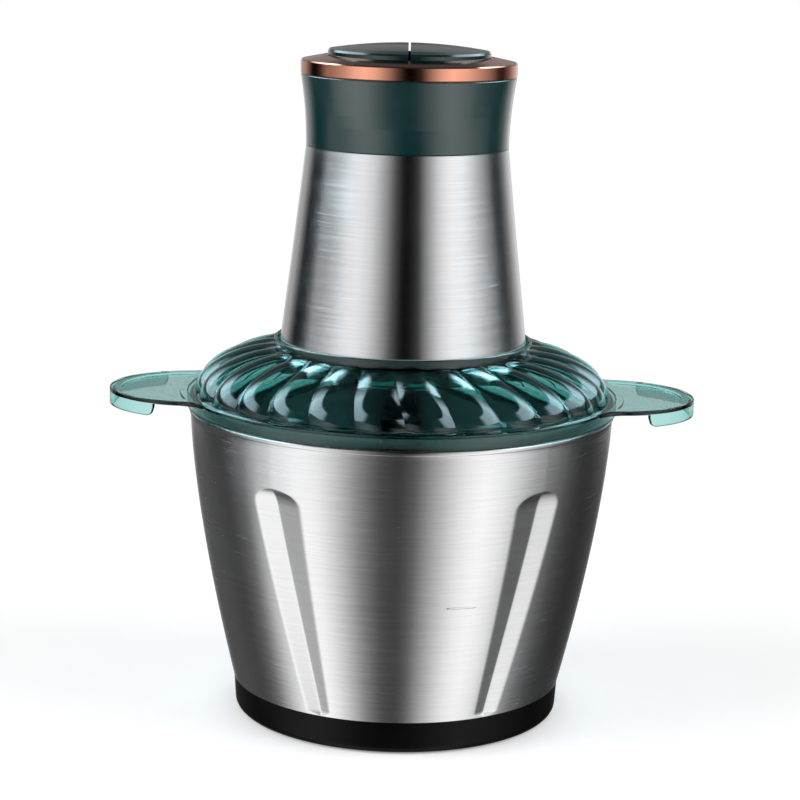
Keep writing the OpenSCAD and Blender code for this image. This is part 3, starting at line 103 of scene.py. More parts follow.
class Graph:
    """Adds nodes to one node tree and joins them."""

    def __init__(self, tree: bpy.types.NodeTree) -> None:
        """Takes the tree that the nodes go into.

        Args:
            tree: The material's, the world's or the group's node tree.
        """
        self.tree = tree
        self.column = 0

    @classmethod
    def fresh(cls, owner: bpy.types.Material | bpy.types.World) -> "Graph":
        """Gives a material or the world an empty node tree.

        Args:
            owner: The material or the world.

        Returns:
            The tree's graph.
        """
        owner.use_nodes = True
        owner.node_tree.nodes.clear()
        return cls(owner.node_tree)

    def add(self, kind: str, **settings: Any) -> bpy.types.Node:
        """Adds one node.

        Args:
            kind: The node's type name.
            **settings: Properties set on the node.

        Returns:
            The new node.
        """
        node = self.tree.nodes.new(kind)
        across, down, rows = 180, 140, 4
        node.location = (self.column * across, -(self.column % rows) * down)
        self.column += 1
        for key, value in settings.items():
            setattr(node, key, value)
        return node

    def join(self, source: bpy.types.NodeSocket, target: bpy.types.NodeSocket) -> None:
        """Links one output to one input."""
        self.tree.links.new(source, target)

    def feed(self, target: bpy.types.NodeSocket, value: Any) -> None:
        """Gives an input its value, which is a number, a tuple or another node's output.

        Args:
            target: The input socket.
            value: What goes into it.
        """
        if isinstance(value, bpy.types.NodeSocket):
            self.join(value, target)
        else:
            target.default_value = value

    def maths(self, operation: str, *values: Any, clamp: bool = False) -> bpy.types.NodeSocket:
        """Adds a Math node.

        Args:
            operation: The operation's name.
            *values: Its inputs in order.
            clamp: Whether the result is kept between 0 and 1.

        Returns:
            The node's output.
        """
        node = self.add("ShaderNodeMath", operation=operation, use_clamp=clamp)
        for slot, value in zip(node.inputs, values):
            self.feed(slot, value)
        return node.outputs[0]

    def vector(self, operation: str, *values: Any) -> bpy.types.NodeSocket:
        """Adds a Vector Math node.

        Args:
            operation: The operation's name.
            *values: Its inputs in order.

        Returns:
            The node's first output.
        """
        node = self.add("ShaderNodeVectorMath", operation=operation)
        for slot, value in zip(node.inputs, values):
            self.feed(slot, value)
        return node.outputs[0]

    def split(self, vector: bpy.types.NodeSocket) -> Any:
        """Adds a Separate XYZ node.

        Args:
            vector: The vector to take apart.

        Returns:
            Its three outputs, by number or as X, Y and Z.
        """
        node = self.add("ShaderNodeSeparateXYZ")
        self.join(vector, node.inputs[0])
        return node.outputs

    def blend(self, factor: bpy.types.NodeSocket, first: bpy.types.NodeSocket,
              second: bpy.types.NodeSocket) -> bpy.types.NodeSocket:
        """Adds a Mix Shader node.

        Args:
            factor: 0 for the first and 1 for the second.
            first: A shader's output.
            second: A shader's output.

        Returns:
            The mixed shader.
        """
        node = self.add("ShaderNodeMixShader")
        for slot, source in zip(node.inputs, (factor, first, second)):
            self.join(source, slot)
        return node.outputs[0]

    def ramp(self, value: Any, low: Any, high: Any, to_low: Any = 0.0, to_high: Any = 1.0,
             smooth: bool = True) -> bpy.types.NodeSocket:
        """Maps a value from one range to another and holds it at the ends.

        Args:
            value: The input.
            low: Where the input range starts.
            high: Where the input range ends.
            to_low: The result at low.
            to_high: The result at high.
            smooth: Whether the way between eases in and out.

        Returns:
            The mapped value.
        """
        node = self.add("ShaderNodeMapRange", interpolation_type="SMOOTHSTEP" if smooth else "LINEAR")
        for slot, given in zip(node.inputs, (value, low, high, to_low, to_high)):
            self.feed(slot, given)
        return node.outputs[0]

    def noise(self, vector: Any, scale: Any, detail: float = 3.0, rough: float = 0.55) -> bpy.types.NodeSocket:
        """Adds a Noise Texture.

        Args:
            vector: Where it is read.
            scale: How fine it is.
            detail: How many finer layers it has.
            rough: How strong they are.

        Returns:
            Its value, about 0.5 on average.
        """
        node = self.add("ShaderNodeTexNoise")
        self.feed(node.inputs["Vector"], vector)
        self.feed(node.inputs["Scale"], scale)
        node.inputs["Detail"].default_value = detail
        node.inputs["Roughness"].default_value = rough
        return node.outputs[0]

    def mix(self, factor: Any, first: Any, second: Any) -> bpy.types.NodeSocket:
        """Mixes two colours.

        Args:
            factor: 0 for the first and 1 for the second.
            first: A colour.
            second: A colour.

        Returns:
            The mixed colour.
        """
        node = self.add("ShaderNodeMix", data_type="RGBA")
        self.feed(node.inputs[0], factor)
        for slot, given in ((node.inputs[6], first), (node.inputs[7], second)):
            if isinstance(given, tuple) and len(given) == 3:
                given = (*given, 1.0)
            self.feed(slot, given)
        return node.outputs[2]


class Effects:
    """Shader groups that several finishes share, each made once."""

    made: dict[str, bpy.types.NodeTree] = {}

    @classmethod
    def group(cls, name: str, inputs: Sequence[tuple[str, str, Any]], outputs: Sequence[str],
              fill: Callable[[Graph, dict[str, Any]], dict[str, Any]]) -> bpy.types.NodeTree:
        """Makes a group, or gives the one that was made before.

        Args:
            name: The group's name.
            inputs: Name, kind and starting value of each input.
            outputs: Names of the outputs, which are all single values.
            fill: Takes the graph and the inputs, and returns each output's source.

        Returns:
            The group's node tree.
        """
        if name not in cls.made:
            tree = bpy.data.node_groups.new(name, "ShaderNodeTree")
            for title, kind, value in inputs:
                socket = tree.interface.new_socket(title, in_out="INPUT", socket_type=kind)
                if value is not None:
                    socket.default_value = value
            for title in outputs:
                tree.interface.new_socket(title, in_out="OUTPUT", socket_type="NodeSocketFloat")
            graph = Graph(tree)
            entry = graph.add("NodeGroupInput")
            results = fill(graph, {title: entry.outputs[title] for title, _, _ in inputs})
            leave = graph.add("NodeGroupOutput")
            for title in outputs:
                graph.join(results[title], leave.inputs[title])
            cls.made[name] = tree
        return cls.made[name]

    @classmethod
    def brushing(cls) -> bpy.types.NodeTree:
        """Fine parallel lines left by an abrasive belt, with a few longer scratches.

        Returns:
            A group with Vector, Fineness and Length, which gives Streak and Scratch.
        """
        def fill(graph: Graph, given: dict[str, Any]) -> dict[str, Any]:
            """Stretches noise along the lines.

            Args:
                graph: The group's graph.
                given: The group's inputs.

            Returns:
                The source of each output.
            """
            along = graph.maths("DIVIDE", 1.0, given["Length"])
            fine = graph.add("ShaderNodeCombineXYZ")
            coarse = graph.add("ShaderNodeCombineXYZ")
            for node, share in ((fine, 1.0), (coarse, 0.32)):
                graph.join(along, node.inputs[0])
                graph.join(along, node.inputs[1])
                graph.join(graph.maths("MULTIPLY", given["Fineness"], share), node.inputs[2])
            read = graph.vector("MULTIPLY", given["Vector"], fine.outputs[0])
            streak = graph.noise(read, scale=1.0, detail=4.0, rough=0.65)
            shifted = graph.vector("ADD", given["Vector"], (0.37, 0.11, 0.053))
            read = graph.vector("MULTIPLY", shifted, coarse.outputs[0])
            broad = graph.noise(read, scale=1.6, detail=2.0, rough=0.5)
            fine_share = 0.65
            return {"Streak": graph.maths("ADD", graph.maths("MULTIPLY", streak, fine_share),
                                          graph.maths("MULTIPLY", broad, 1.0 - fine_share)),
                    "Scratch": graph.ramp(broad, 0.66, 0.74)}
        return cls.group("brushing", [("Vector", "NodeSocketVector", None), ("Fineness", "NodeSocketFloat", 3000.0),
                                      ("Length", "NodeSocketFloat", 0.04)], ["Streak", "Scratch"], fill)

    @classmethod
    def grain(cls) -> bpy.types.NodeTree:
        """Fine texture of a moulded or cast skin.

        Returns:
            A group with Vector and Scale, which gives Height and Tone.
        """
        def fill(graph: Graph, given: dict[str, Any]) -> dict[str, Any]:
            """Reads a fine and a broad noise.

            Args:
                graph: The group's graph.
                given: The group's inputs.

            Returns:
                The source of each output.
            """
            fine = graph.noise(given["Vector"], given["Scale"], detail=4.0, rough=0.6)
            broad_scale = graph.maths("MULTIPLY", given["Scale"], 0.06)
            broad = graph.noise(given["Vector"], broad_scale, detail=2.0, rough=0.5)
            return {"Height": fine, "Tone": broad}
        return cls.group("grain", [("Vector", "NodeSocketVector", None), ("Scale", "NodeSocketFloat", 900.0)],
                         ["Height", "Tone"], fill)

    @classmethod
    def handling(cls) -> bpy.types.NodeTree:
        """Faint smears where hands and cloths have been.

        Returns:
            A group with Vector, Scale and Amount, which gives Smear.
        """
        def fill(graph: Graph, given: dict[str, Any]) -> dict[str, Any]:
            """Bends a broad noise by another and keeps its peaks.

            Args:
                graph: The group's graph.
                given: The group's inputs.

            Returns:
                The source of each output.
            """
            warp = graph.noise(given["Vector"], graph.maths("MULTIPLY", given["Scale"], 0.5), detail=2.0)
            bent = graph.add("ShaderNodeCombineXYZ")
            for slot in bent.inputs:
                graph.join(graph.maths("MULTIPLY", warp, 0.02), slot)
            moved = graph.vector("ADD", given["Vector"], bent.outputs[0])
            read = graph.noise(moved, given["Scale"], detail=4.0, rough=0.6)
            return {"Smear": graph.maths("MULTIPLY", graph.ramp(read, 0.42, 0.68), given["Amount"])}
        return cls.group("handling", [("Vector", "NodeSocketVector", None), ("Scale", "NodeSocketFloat", 18.0),
                                      ("Amount", "NodeSocketFloat", 1.0)], ["Smear"], fill)

    @classmethod
    def scuffed_edge(cls) -> bpy.types.NodeTree:
        """Wear in a narrow band round the axis, as on a rim or a foot.

        Returns:
            A group with Vector, Level, Width and Amount, which gives Wear.
        """
        def fill(graph: Graph, given: dict[str, Any]) -> dict[str, Any]:
            """Takes a band at one height and breaks it up.

            Args:
                graph: The group's graph.
                given: The group's inputs.

            Returns:
                The source of each output.
            """
            height = graph.split(given["Vector"])[2]
            away = graph.maths("ABSOLUTE", graph.maths("SUBTRACT", height, given["Level"]))
            band = graph.ramp(graph.maths("DIVIDE", away, given["Width"]), 0.0, 1.0, 1.0, 0.0)
            broken = graph.ramp(graph.noise(given["Vector"], scale=260.0, detail=5.0, rough=0.7), 0.46, 0.62)
            return {"Wear": graph.maths("MULTIPLY", graph.maths("MULTIPLY", band, broken), given["Amount"])}
        return cls.group("scuffed_edge", [("Vector", "NodeSocketVector", None), ("Level", "NodeSocketFloat", 0.0),
                                          ("Width", "NodeSocketFloat", 0.002), ("Amount", "NodeSocketFloat", 1.0)],
                         ["Wear"], fill)

    @classmethod
    def layers(cls) -> bpy.types.NodeTree:
        """Even layers up the axis, such as sheets in a stack or wires side by side.

        Returns:
            A group with Vector and Pitch, which gives Round and Gap.
        """
        def fill(graph: Graph, given: dict[str, Any]) -> dict[str, Any]:
            """Folds the height into one layer after the other.

            Args:
                graph: The group's graph.
                given: The group's inputs.

            Returns:
                The source of each output.
            """
            height = graph.split(given["Vector"])[2]
            turn = graph.maths("FRACT", graph.maths("DIVIDE", height, given["Pitch"]))
            off = graph.maths("SUBTRACT", graph.maths("MULTIPLY", turn, 2.0), 1.0)
            square = graph.maths("MULTIPLY", off, off)
            return {"Round": graph.maths("SQRT", graph.maths("SUBTRACT", 1.0, square, clamp=True)),
                    "Gap": graph.ramp(square, 0.62, 0.95)}
        return cls.group("layers", [("Vector", "NodeSocketVector", None), ("Pitch", "NodeSocketFloat", 0.0006)],
                         ["Round", "Gap"], fill)


# Finishes


@dataclass(frozen=True)
class Finish:
    """What every finish has.

    Attributes:
        name: The finish's name.
        colour: Its base colour.
        slot: The name of the material slot that it belongs to; not used.
        roughness: Its roughness before smears.
        smear_scale: How fine the smears are.
        smear_amount: How much they add to the roughness.
        shade: The second tone, as a share of the colour.
        grain_scale: How fine the grain is.
        relief_depth: How deep the relief is, in metres.
    """

    name: str
    colour: Colour
    slot: str
    roughness: float = 0.4
    smear_scale: float = 20.0
    smear_amount: float = 0.05
    shade: float = 0.9
    grain_scale: float = 900.0
    relief_depth: float = 0.00001

    def start(self) -> tuple[bpy.types.Material, Graph, bpy.types.Node, bpy.types.NodeSocket]:
        """Makes the empty material with its shader.

        Returns:
            The material, its graph, its shader and the place on the piece.
        """
        material = bpy.data.materials.new(f"{self.name}_finish")
        graph = Graph.fresh(material)
        leave = graph.add("ShaderNodeOutputMaterial")
        shader = graph.add("ShaderNodeBsdfPrincipled")
        graph.join(shader.outputs[0], leave.inputs["Surface"])
        shader.inputs["Base Color"].default_value = (*self.colour, 1.0)
        shader.inputs["Roughness"].default_value = self.roughness
        place = graph.add("ShaderNodeTexCoord").outputs["Object"]
        return material, graph, shader, place

    def effect(self, graph: Graph, tree: bpy.types.NodeTree, vector: bpy.types.NodeSocket,
               **values: float) -> bpy.types.Node:
        """Places a shared group in the material.

        Args:
            graph: The material's graph.
            tree: The group.
            vector: Where it is read.
            **values: Its other inputs by name.

        Returns:
            The group node.
        """
        node = graph.add("ShaderNodeGroup")
        node.node_tree = tree
        graph.join(vector, node.inputs["Vector"])
        for key, value in values.items():
            node.inputs[key].default_value = value
        return node

    def relief(self, graph: Graph, shader: bpy.types.Node, height: Any, depth: float) -> None:
        """Gives the surface a fine relief.

        Args:
            graph: The material's graph.
            shader: Its shader.
            height: The height from 0 to 1.
            depth: The depth in metres.
        """
        bump = graph.add("ShaderNodeBump")
        bump.inputs["Strength"].default_value = 1.0
        bump.inputs["Distance"].default_value = depth
        graph.feed(bump.inputs["Height"], height)
        graph.join(bump.outputs[0], shader.inputs["Normal"])

    def tint(self, graph: Graph, shader: bpy.types.Node, factor: Any, other: Colour) -> None:
        """Varies the colour between the finish's own and another one.

        Args:
            graph: The material's graph.
            shader: Its shader.
            factor: The mask, where 1 gives the other colour.
            other: The other colour.
        """
        graph.join(graph.mix(factor, self.colour, other), shader.inputs["Base Color"])

    def toned(self, lift: float = 0.0) -> Colour:
        """Gives the second tone, raised by lift."""
        return tuple(min(1.0, self.shade * part + lift) for part in self.colour)

    def smear(self, graph: Graph, shader: bpy.types.Node, place: bpy.types.NodeSocket, rough: Any) -> None:
        """Adds faint smears to a roughness and gives it to the shader.

        Args:
            graph: The material's graph.
            shader: Its shader.
            place: Where the smears are read.
            rough: The roughness without them.
        """
        trace = self.effect(graph, Effects.handling(), place, Scale=self.smear_scale, Amount=self.smear_amount)
        graph.join(graph.maths("ADD", trace.outputs["Smear"], rough), shader.inputs["Roughness"])

    def material(self) -> bpy.types.Material:
        """Makes the material, or gives the one that was made before.

        Returns:
            The finished material.
        """
        known = bpy.data.materials.get(f"{self.name}_finish")
        return known if known else self.make()

    def make(self) -> bpy.types.Material:
        """Makes the material.

        Returns:
            The finished material.
        """
        raise NotImplementedError(self.name)


@dataclass(frozen=True)
class BrushedMetal(Finish):
    """Sheet or turned metal with fine lines, and with shade painted on its foot where asked.

    Attributes:
        lines: How fine the lines are.
        length: How long they are, in metres.
        sheen: How much they stretch what is mirrored.
        spread: Which way they run.
        swing: How far they vary the roughness.
        scratch: How much rougher a scratch is.
        seat_shade_z: The height in metres below which shade is painted on the metal, where it stands in its seat, or 0
            for none.
        seat_shade_blur: How soft the painted shade's edge is, in metres.
        seat_shade_colour: The colour of the painted shade.
    """

    lines: float = 2600.0
    length: float = 0.05
    sheen: float = 0.82
    spread: Spread = Spread.ROUND_AXIS
    swing: float = 0.03
    scratch: float = 0.05
    seat_shade_z: float = 0.0
    seat_shade_blur: float = 0.0001
    seat_shade_colour: Colour = (0.007, 0.009, 0.009)
    smear_scale: float = 14.0
    relief_depth: float = 0.000006

    def paint_seat_shade(self, graph: Graph, shader: bpy.types.Node, place: bpy.types.NodeSocket) -> None:
        """Paints shade on the metal: it turns dark and dull below the given height, where it stands in its seat.

        Args:
            graph: The material's graph.
            shader: Its shader, whose colour is already linked.
            place: The object's coordinates.
        """
        height = graph.split(place)["Z"]
        # painted shade: 0 in the dark band at the foot, 1 on the bare metal above it
        bare = graph.ramp(height, self.seat_shade_z - self.seat_shade_blur, self.seat_shade_z + self.seat_shade_blur, smooth=False)
        colour = shader.inputs["Base Color"].links[0].from_socket
        graph.join(graph.mix(bare, self.seat_shade_colour, colour), shader.inputs["Base Color"])
        graph.join(bare, shader.inputs["Metallic"])

    def make(self) -> bpy.types.Material:
        """Makes the material.

        Returns:
            The finished material.
        """
        material, graph, shader, place = self.start()
        if self.spread is Spread.ALONG_X:
            turn = graph.add("ShaderNodeMapping")
            turn.inputs["Rotation"].default_value = (math.radians(90), 0, 0)
            graph.join(place, turn.inputs["Vector"])
            place = turn.outputs[0]
        brush = self.effect(graph, Effects.brushing(), place, Fineness=self.lines, Length=self.length)
        streak = brush.outputs["Streak"]
        self.tint(graph, shader, graph.ramp(streak, 0.3, 0.7, 1.0, 0.0), self.toned())
        rough = graph.ramp(streak, 0.25, 0.75, self.roughness - self.swing, self.roughness + self.swing)
        scratched = graph.maths("MULTIPLY", brush.outputs["Scratch"], self.scratch)
        self.smear(graph, shader, place, graph.maths("ADD", rough, scratched))
        shader.inputs["Metallic"].default_value = 1.0
        shader.inputs["Anisotropic"].default_value = self.sheen
        if self.spread is Spread.ROUND_AXIS:
            quarter_turn = 0.25
            shader.inputs["Anisotropic Rotation"].default_value = quarter_turn
            tangent = graph.add("ShaderNodeTangent", direction_type="RADIAL", axis="Z")
            graph.join(tangent.outputs[0], shader.inputs["Tangent"])
        # painted shade on the foot, where it stands in the seat
        if self.seat_shade_z:
            self.paint_seat_shade(graph, shader, place)
        self.relief(graph, shader, streak, self.relief_depth)
        return material


@dataclass(frozen=True)
class PlatedMetal(Finish):
    """Polished plating or bare cast metal."""

    smear_scale: float = 22.0
    smear_amount: float = 0.06
    shade: float = 0.86
    grain_scale: float = 700.0
    relief_depth: float = 0.000004

    def make(self) -> bpy.types.Material:
        """Makes the material.

        Returns:
            The finished material.
        """
        material, graph, shader, place = self.start()
        grain = self.effect(graph, Effects.grain(), place, Scale=self.grain_scale)
        self.tint(graph, shader, graph.ramp(grain.outputs["Tone"], 0.35, 0.7), self.toned())
        self.smear(graph, shader, place, self.roughness)
        shader.inputs["Metallic"].default_value = 1.0
        self.relief(graph, shader, grain.outputs["Height"], self.relief_depth)
        return material


@dataclass(frozen=True)
class MouldedPlastic(Finish):
    """Moulded plastic, from polished to sparked.

    Attributes:
        look: How its tool left the skin.
        coat: The weight of the clear gloss on it.
        coat_roughness: The gloss's own roughness.
        lift: How much the second tone is raised.
    """

    look: Look = Look.SATIN
    coat: float = 0.0
    coat_roughness: float = 0.04
    lift: float = 0.002
    shade: float = 1.14
    grain_scale: float = 1400.0

    def make(self) -> bpy.types.Material:
        """Makes the material.

        Returns:
            The finished material.
        """
        material, graph, shader, place = self.start()
        grain = self.effect(graph, Effects.grain(), place, Scale=self.grain_scale)
        self.tint(graph, shader, graph.ramp(grain.outputs["Tone"], 0.3, 0.75), self.toned(self.lift))
        self.smear(graph, shader, place, self.roughness)
        shader.inputs["Coat Weight"].default_value = self.coat
        shader.inputs["Coat Roughness"].default_value = self.coat_roughness
        self.relief(graph, shader, grain.outputs["Height"], self.look.value)
        return material


@dataclass(frozen=True)
class Rubber(Finish):
    """Dull rubber with a scuffed lower edge.

    Attributes:
        scuff: How strong the wear is.
        scuff_level: Its height, in metres.
        scuff_width: How far it reaches, in metres.
        scuff_colour: Its colour.
        specular: How much the rubber mirrors.
    """

    scuff: float = 0.6
    scuff_level: float = 0.0012
    scuff_width: float = 0.0025
    scuff_colour: Colour = (0.012, 0.012, 0.012)
    specular: float = 0.12
    smear_scale: float = 30.0
    smear_amount: float = 0.12
    grain_scale: float = 1100.0
    relief_depth: float = 0.00002

    def make(self) -> bpy.types.Material:
        """Makes the material.

        Returns:
            The finished material.
        """
        material, graph, shader, place = self.start()
        grain = self.effect(graph, Effects.grain(), place, Scale=self.grain_scale)
        wear = self.effect(graph, Effects.scuffed_edge(), place, Level=self.scuff_level, Width=self.scuff_width,
                           Amount=self.scuff)
        self.tint(graph, shader, wear.outputs["Wear"], self.scuff_colour)
        self.smear(graph, shader, place, self.roughness)
        shader.inputs["Specular IOR Level"].default_value = self.specular
        self.relief(graph, shader, grain.outputs["Height"], self.relief_depth)
        return material


@dataclass(frozen=True)
class ClearPlastic(Finish):
    """Clear tinted plastic, polished on both faces.

    Attributes:
        absorb: The colour that deep plastic takes.
        density: How fast it takes it.
        bend: Its index of refraction.
    """

    absorb: Colour = (0.3, 0.9, 0.87)
    density: float = 90.0
    bend: float = 1.49
    smear_scale: float = 26.0
    smear_amount: float = 0.03
    grain_scale: float = 60.0
    relief_depth: float = 0.00004

    def make(self) -> bpy.types.Material:
        """Makes the material.

        Returns:
            The finished material.
        """
        material, graph, shader, place = self.start()
        shader.inputs["Transmission Weight"].default_value = 1.0
        shader.inputs["IOR"].default_value = self.bend
        self.smear(graph, shader, place, self.roughness)
        grain = self.effect(graph, Effects.grain(), place, Scale=self.grain_scale)
        self.relief(graph, shader, grain.outputs["Height"], self.relief_depth)
        tint = graph.add("ShaderNodeVolumeAbsorption")
        tint.inputs["Color"].default_value = (*self.absorb, 1.0)
        tint.inputs["Density"].default_value = self.density
        leave = next(node for node in graph.tree.nodes if node.type == "OUTPUT_MATERIAL")
        graph.join(tint.outputs[0], leave.inputs["Volume"])
        return material


@dataclass(frozen=True)
class Silicone(Finish):
    """Milky soft silicone.

    Attributes:
        milk: How much light scatters inside it.
        milk_reach: How far it scatters, in metres.
    """

    milk: float = 0.4
    milk_reach: float = 0.004
    shade: float = 0.93

    def make(self) -> bpy.types.Material:
        """Makes the material.

        Returns:
            The finished material.
        """
        material, graph, shader, place = self.start()
        grain = self.effect(graph, Effects.grain(), place, Scale=self.grain_scale)
        self.tint(graph, shader, graph.ramp(grain.outputs["Tone"], 0.3, 0.7), self.toned())
        shader.inputs["Subsurface Weight"].default_value = self.milk
        shader.inputs["Subsurface Radius"].default_value = (self.milk_reach,) * 3
        self.relief(graph, shader, grain.outputs["Height"], self.relief_depth)
        return material


@dataclass(frozen=True)
class Layered(Finish):
    """Stacked sheets or wound wire, seen as fine rings.

    Attributes:
        pitch: The thickness of a sheet or wire, in metres.
        gap: The colour between them.
        smoother: How far the roughness goes down.
        rougher: How far it goes up.
    """

    pitch: float = 0.0006
    gap: Colour = (0.05, 0.04, 0.03)
    smoother: float = 0.05
    rougher: float = 0.08
    grain_scale: float = 600.0
    relief_depth: float = 0.0001

    def make(self) -> bpy.types.Material:
        """Makes the material.

        Returns:
            The finished material.
        """
        material, graph, shader, place = self.start()
        layer = self.effect(graph, Effects.layers(), place, Pitch=self.pitch)
        grain = self.effect(graph, Effects.grain(), place, Scale=self.grain_scale)
        mask = graph.maths("MAXIMUM", layer.outputs["Gap"], graph.ramp(grain.outputs["Tone"], 0.5, 0.8, 0.0, 0.25))
        self.tint(graph, shader, mask, self.gap)
        graph.join(graph.ramp(grain.outputs["Height"], 0.3, 0.7, self.roughness - self.smoother,
                              self.roughness + self.rougher), shader.inputs["Roughness"])
        shader.inputs["Metallic"].default_value = 1.0
        self.relief(graph, shader, layer.outputs["Round"], self.relief_depth)
        return material


@dataclass(frozen=True)
class SolderMask(Finish):
    """Green lacquer of a circuit board with the tracks under it.

    Attributes:
        track: The colour over a track.
        track_scale: How fine the tracks are.
        track_width: How wide they are, as a share of their pitch.
        track_shift: How far each row is moved along.
    """

    track: Colour = (0.02, 0.09, 0.035)
    track_scale: float = 120.0
    track_width: float = 0.06
    track_shift: float = 0.35
    smear_scale: float = 40.0
    smear_amount: float = 0.1
    relief_depth: float = 0.00003

    def make(self) -> bpy.types.Material:
        """Makes the material.

        Returns:
            The finished material.
        """
        material, graph, shader, place = self.start()
        tracks = graph.add("ShaderNodeTexBrick", offset=self.track_shift)
        graph.join(place, tracks.inputs["Vector"])
        tracks.inputs["Scale"].default_value = self.track_scale
        tracks.inputs["Mortar Size"].default_value = self.track_width
        self.tint(graph, shader, tracks.outputs["Fac"], self.track)
        self.smear(graph, shader, place, self.roughness)
        self.relief(graph, shader, tracks.outputs["Fac"], self.relief_depth)
        return material


SEATED = 0.0092  # how much of the housing's foot stands in the lid's collar, in metres
BOWL_STEEL = BrushedMetal("brushed_bowl_steel", (0.73, 0.73, 0.735), "bowl_steel", 0.2, lines=2300.0, length=0.035)
# the housing's foot gets painted shade, dark and dull up to the collar's edge
HOUSING_STEEL = BrushedMetal("brushed_housing_steel", (0.72, 0.72, 0.73), "housing_steel", 0.18, lines=2800.0,
                             length=0.05, seat_shade_z=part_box("housing_shell")[0][2] + SEATED)
TURNED_STEEL = BrushedMetal("turned_steel", (0.6, 0.6, 0.61), "turned_steel", 0.26, lines=5200.0, length=0.12)
BLADE_STEEL = BrushedMetal("ground_blade_steel", (0.64, 0.64, 0.65), "blade_steel", 0.24, lines=3800.0, length=0.03,
                           spread=Spread.ALONG_X)
ROSE_METAL = PlatedMetal("rose_plating", (0.84, 0.37, 0.25), "rose_metal", 0.09, relief_depth=0.000002)
BRASS = PlatedMetal("brass_plating", (0.78, 0.6, 0.28), "brass_plate", 0.25)
BRONZE = PlatedMetal("bronze", (0.62, 0.42, 0.25), "bronze", 0.34, relief_depth=0.00001)
CAST = PlatedMetal("cast_alloy", (0.55, 0.55, 0.54), "cast_alloy", 0.42, grain_scale=420.0, relief_depth=0.00003)
BARE_COPPER = BrushedMetal("bare_copper", (0.8, 0.42, 0.27), "bare_copper", 0.3, lines=4200.0, length=0.1)
GREEN_GLOSS = MouldedPlastic("green_gloss", (0.003, 0.028, 0.029), "green_gloss", 0.16, look=Look.POLISHED, coat=1.0)
BUTTON_GLOSS = MouldedPlastic("button_gloss", (0.003, 0.019, 0.018), "button_green", 0.12, look=Look.POLISHED, coat=0.3)
BLACK_PLASTIC = MouldedPlastic("black_plastic", (0.014, 0.014, 0.015), "black_plastic", 0.42)
WHITE_PLASTIC = MouldedPlastic("white_plastic", (0.74, 0.73, 0.7), "white_plastic", 0.38)
GEAR_NYLON = MouldedPlastic("gear_nylon", (0.7, 0.68, 0.6), "gear_nylon", 0.36)
PLUNGER_RED = MouldedPlastic("plunger_red", (0.5, 0.03, 0.03), "plunger_red", 0.35)
CARBON = MouldedPlastic("carbon", (0.02, 0.02, 0.021), "carbon", 0.55, look=Look.SPARKED)
BASE_RUBBER = Rubber("base_rubber", (0.0012, 0.0012, 0.0013), "base_rubber", 0.3)
SEAL_RUBBER = Rubber("seal_rubber", (0.02, 0.02, 0.02), "seal_rubber", 0.45, scuff=0.0)
CLEAR_LID = ClearPlastic("clear_teal", (0.48, 0.75, 0.73), "lid_clear", 0.01)
SILICONE = Silicone("milky_silicone", (0.78, 0.8, 0.78), "silicone", 0.34)
LAMINATION = Layered("lamination_stack", (0.45, 0.45, 0.46), "lamination", 0.4, pitch=0.0005)
ENAMELLED = Layered("enamelled_wire", (0.62, 0.26, 0.12), "enamelled_copper", 0.26, pitch=0.0007,
                    gap=(0.16, 0.05, 0.02), relief_depth=0.0003)
BOARD = SolderMask("solder_mask", (0.012, 0.11, 0.045), "board_green", 0.3)


# Meshes


@dataclass(frozen=True)
class Cover:
    """Points of a mesh in millimetres and the faces between them."""

    points: list[Spot]
    faces: list[list[int]]

    @staticmethod
    def skin(rings: Sequence[Sequence[Spot]], loop: bool) -> "Cover":
        """Joins rings of points into one closed skin.

        Args:
            rings: Rings with the same number of points each.
            loop: Whether the last ring joins the first; otherwise both ends are capped.

        Returns:
            The closed skin.
        """
        count, steps = len(rings), len(rings[0])
        points = [point for ring in rings for point in ring]
        faces: list[list[int]] = []
        for i in range(count if loop else count - 1):
            for j in range(steps):
                a, b = i * steps, ((i + 1) % count) * steps
                faces.append([a + j, a + (j + 1) % steps, b + (j + 1) % steps, b + j])
        if not loop:
            faces.append(list(range(steps))[::-1])
            faces.append([(count - 1) * steps + j for j in range(steps)])
        return Cover(points, faces)

    @staticmethod
    def turned(profile: Sequence[Flat], steps: int) -> "Cover":
        """Turns a closed profile round the axis.

        Args:
            profile: Radius and height of each corner.
            steps: Steps round the axis.

        Returns:
            The turned body.
        """
        rings = [[(*polar(r, math.tau * j / steps), z) for j in range(steps)] for r, z in profile]
        return Cover.skin(rings, loop=True)

    def object(self, name: str) -> bpy.types.Object:
        """Makes the mesh object, with its faces turned outwards.

        Args:
            name: The object's name.

        Returns:
            The new object in the scene.
        """
        mesh = bpy.data.meshes.new(name)
        mesh.from_pydata([(x * MM, y * MM, z * MM) for x, y, z in self.points], [], self.faces)
        work = bmesh.new()
        work.from_mesh(mesh)
        bmesh.ops.recalc_face_normals(work, faces=work.faces)
        work.to_mesh(mesh)
        work.free()
        made = bpy.data.objects.new(name, mesh)
        bpy.context.scene.collection.objects.link(made)
        return made


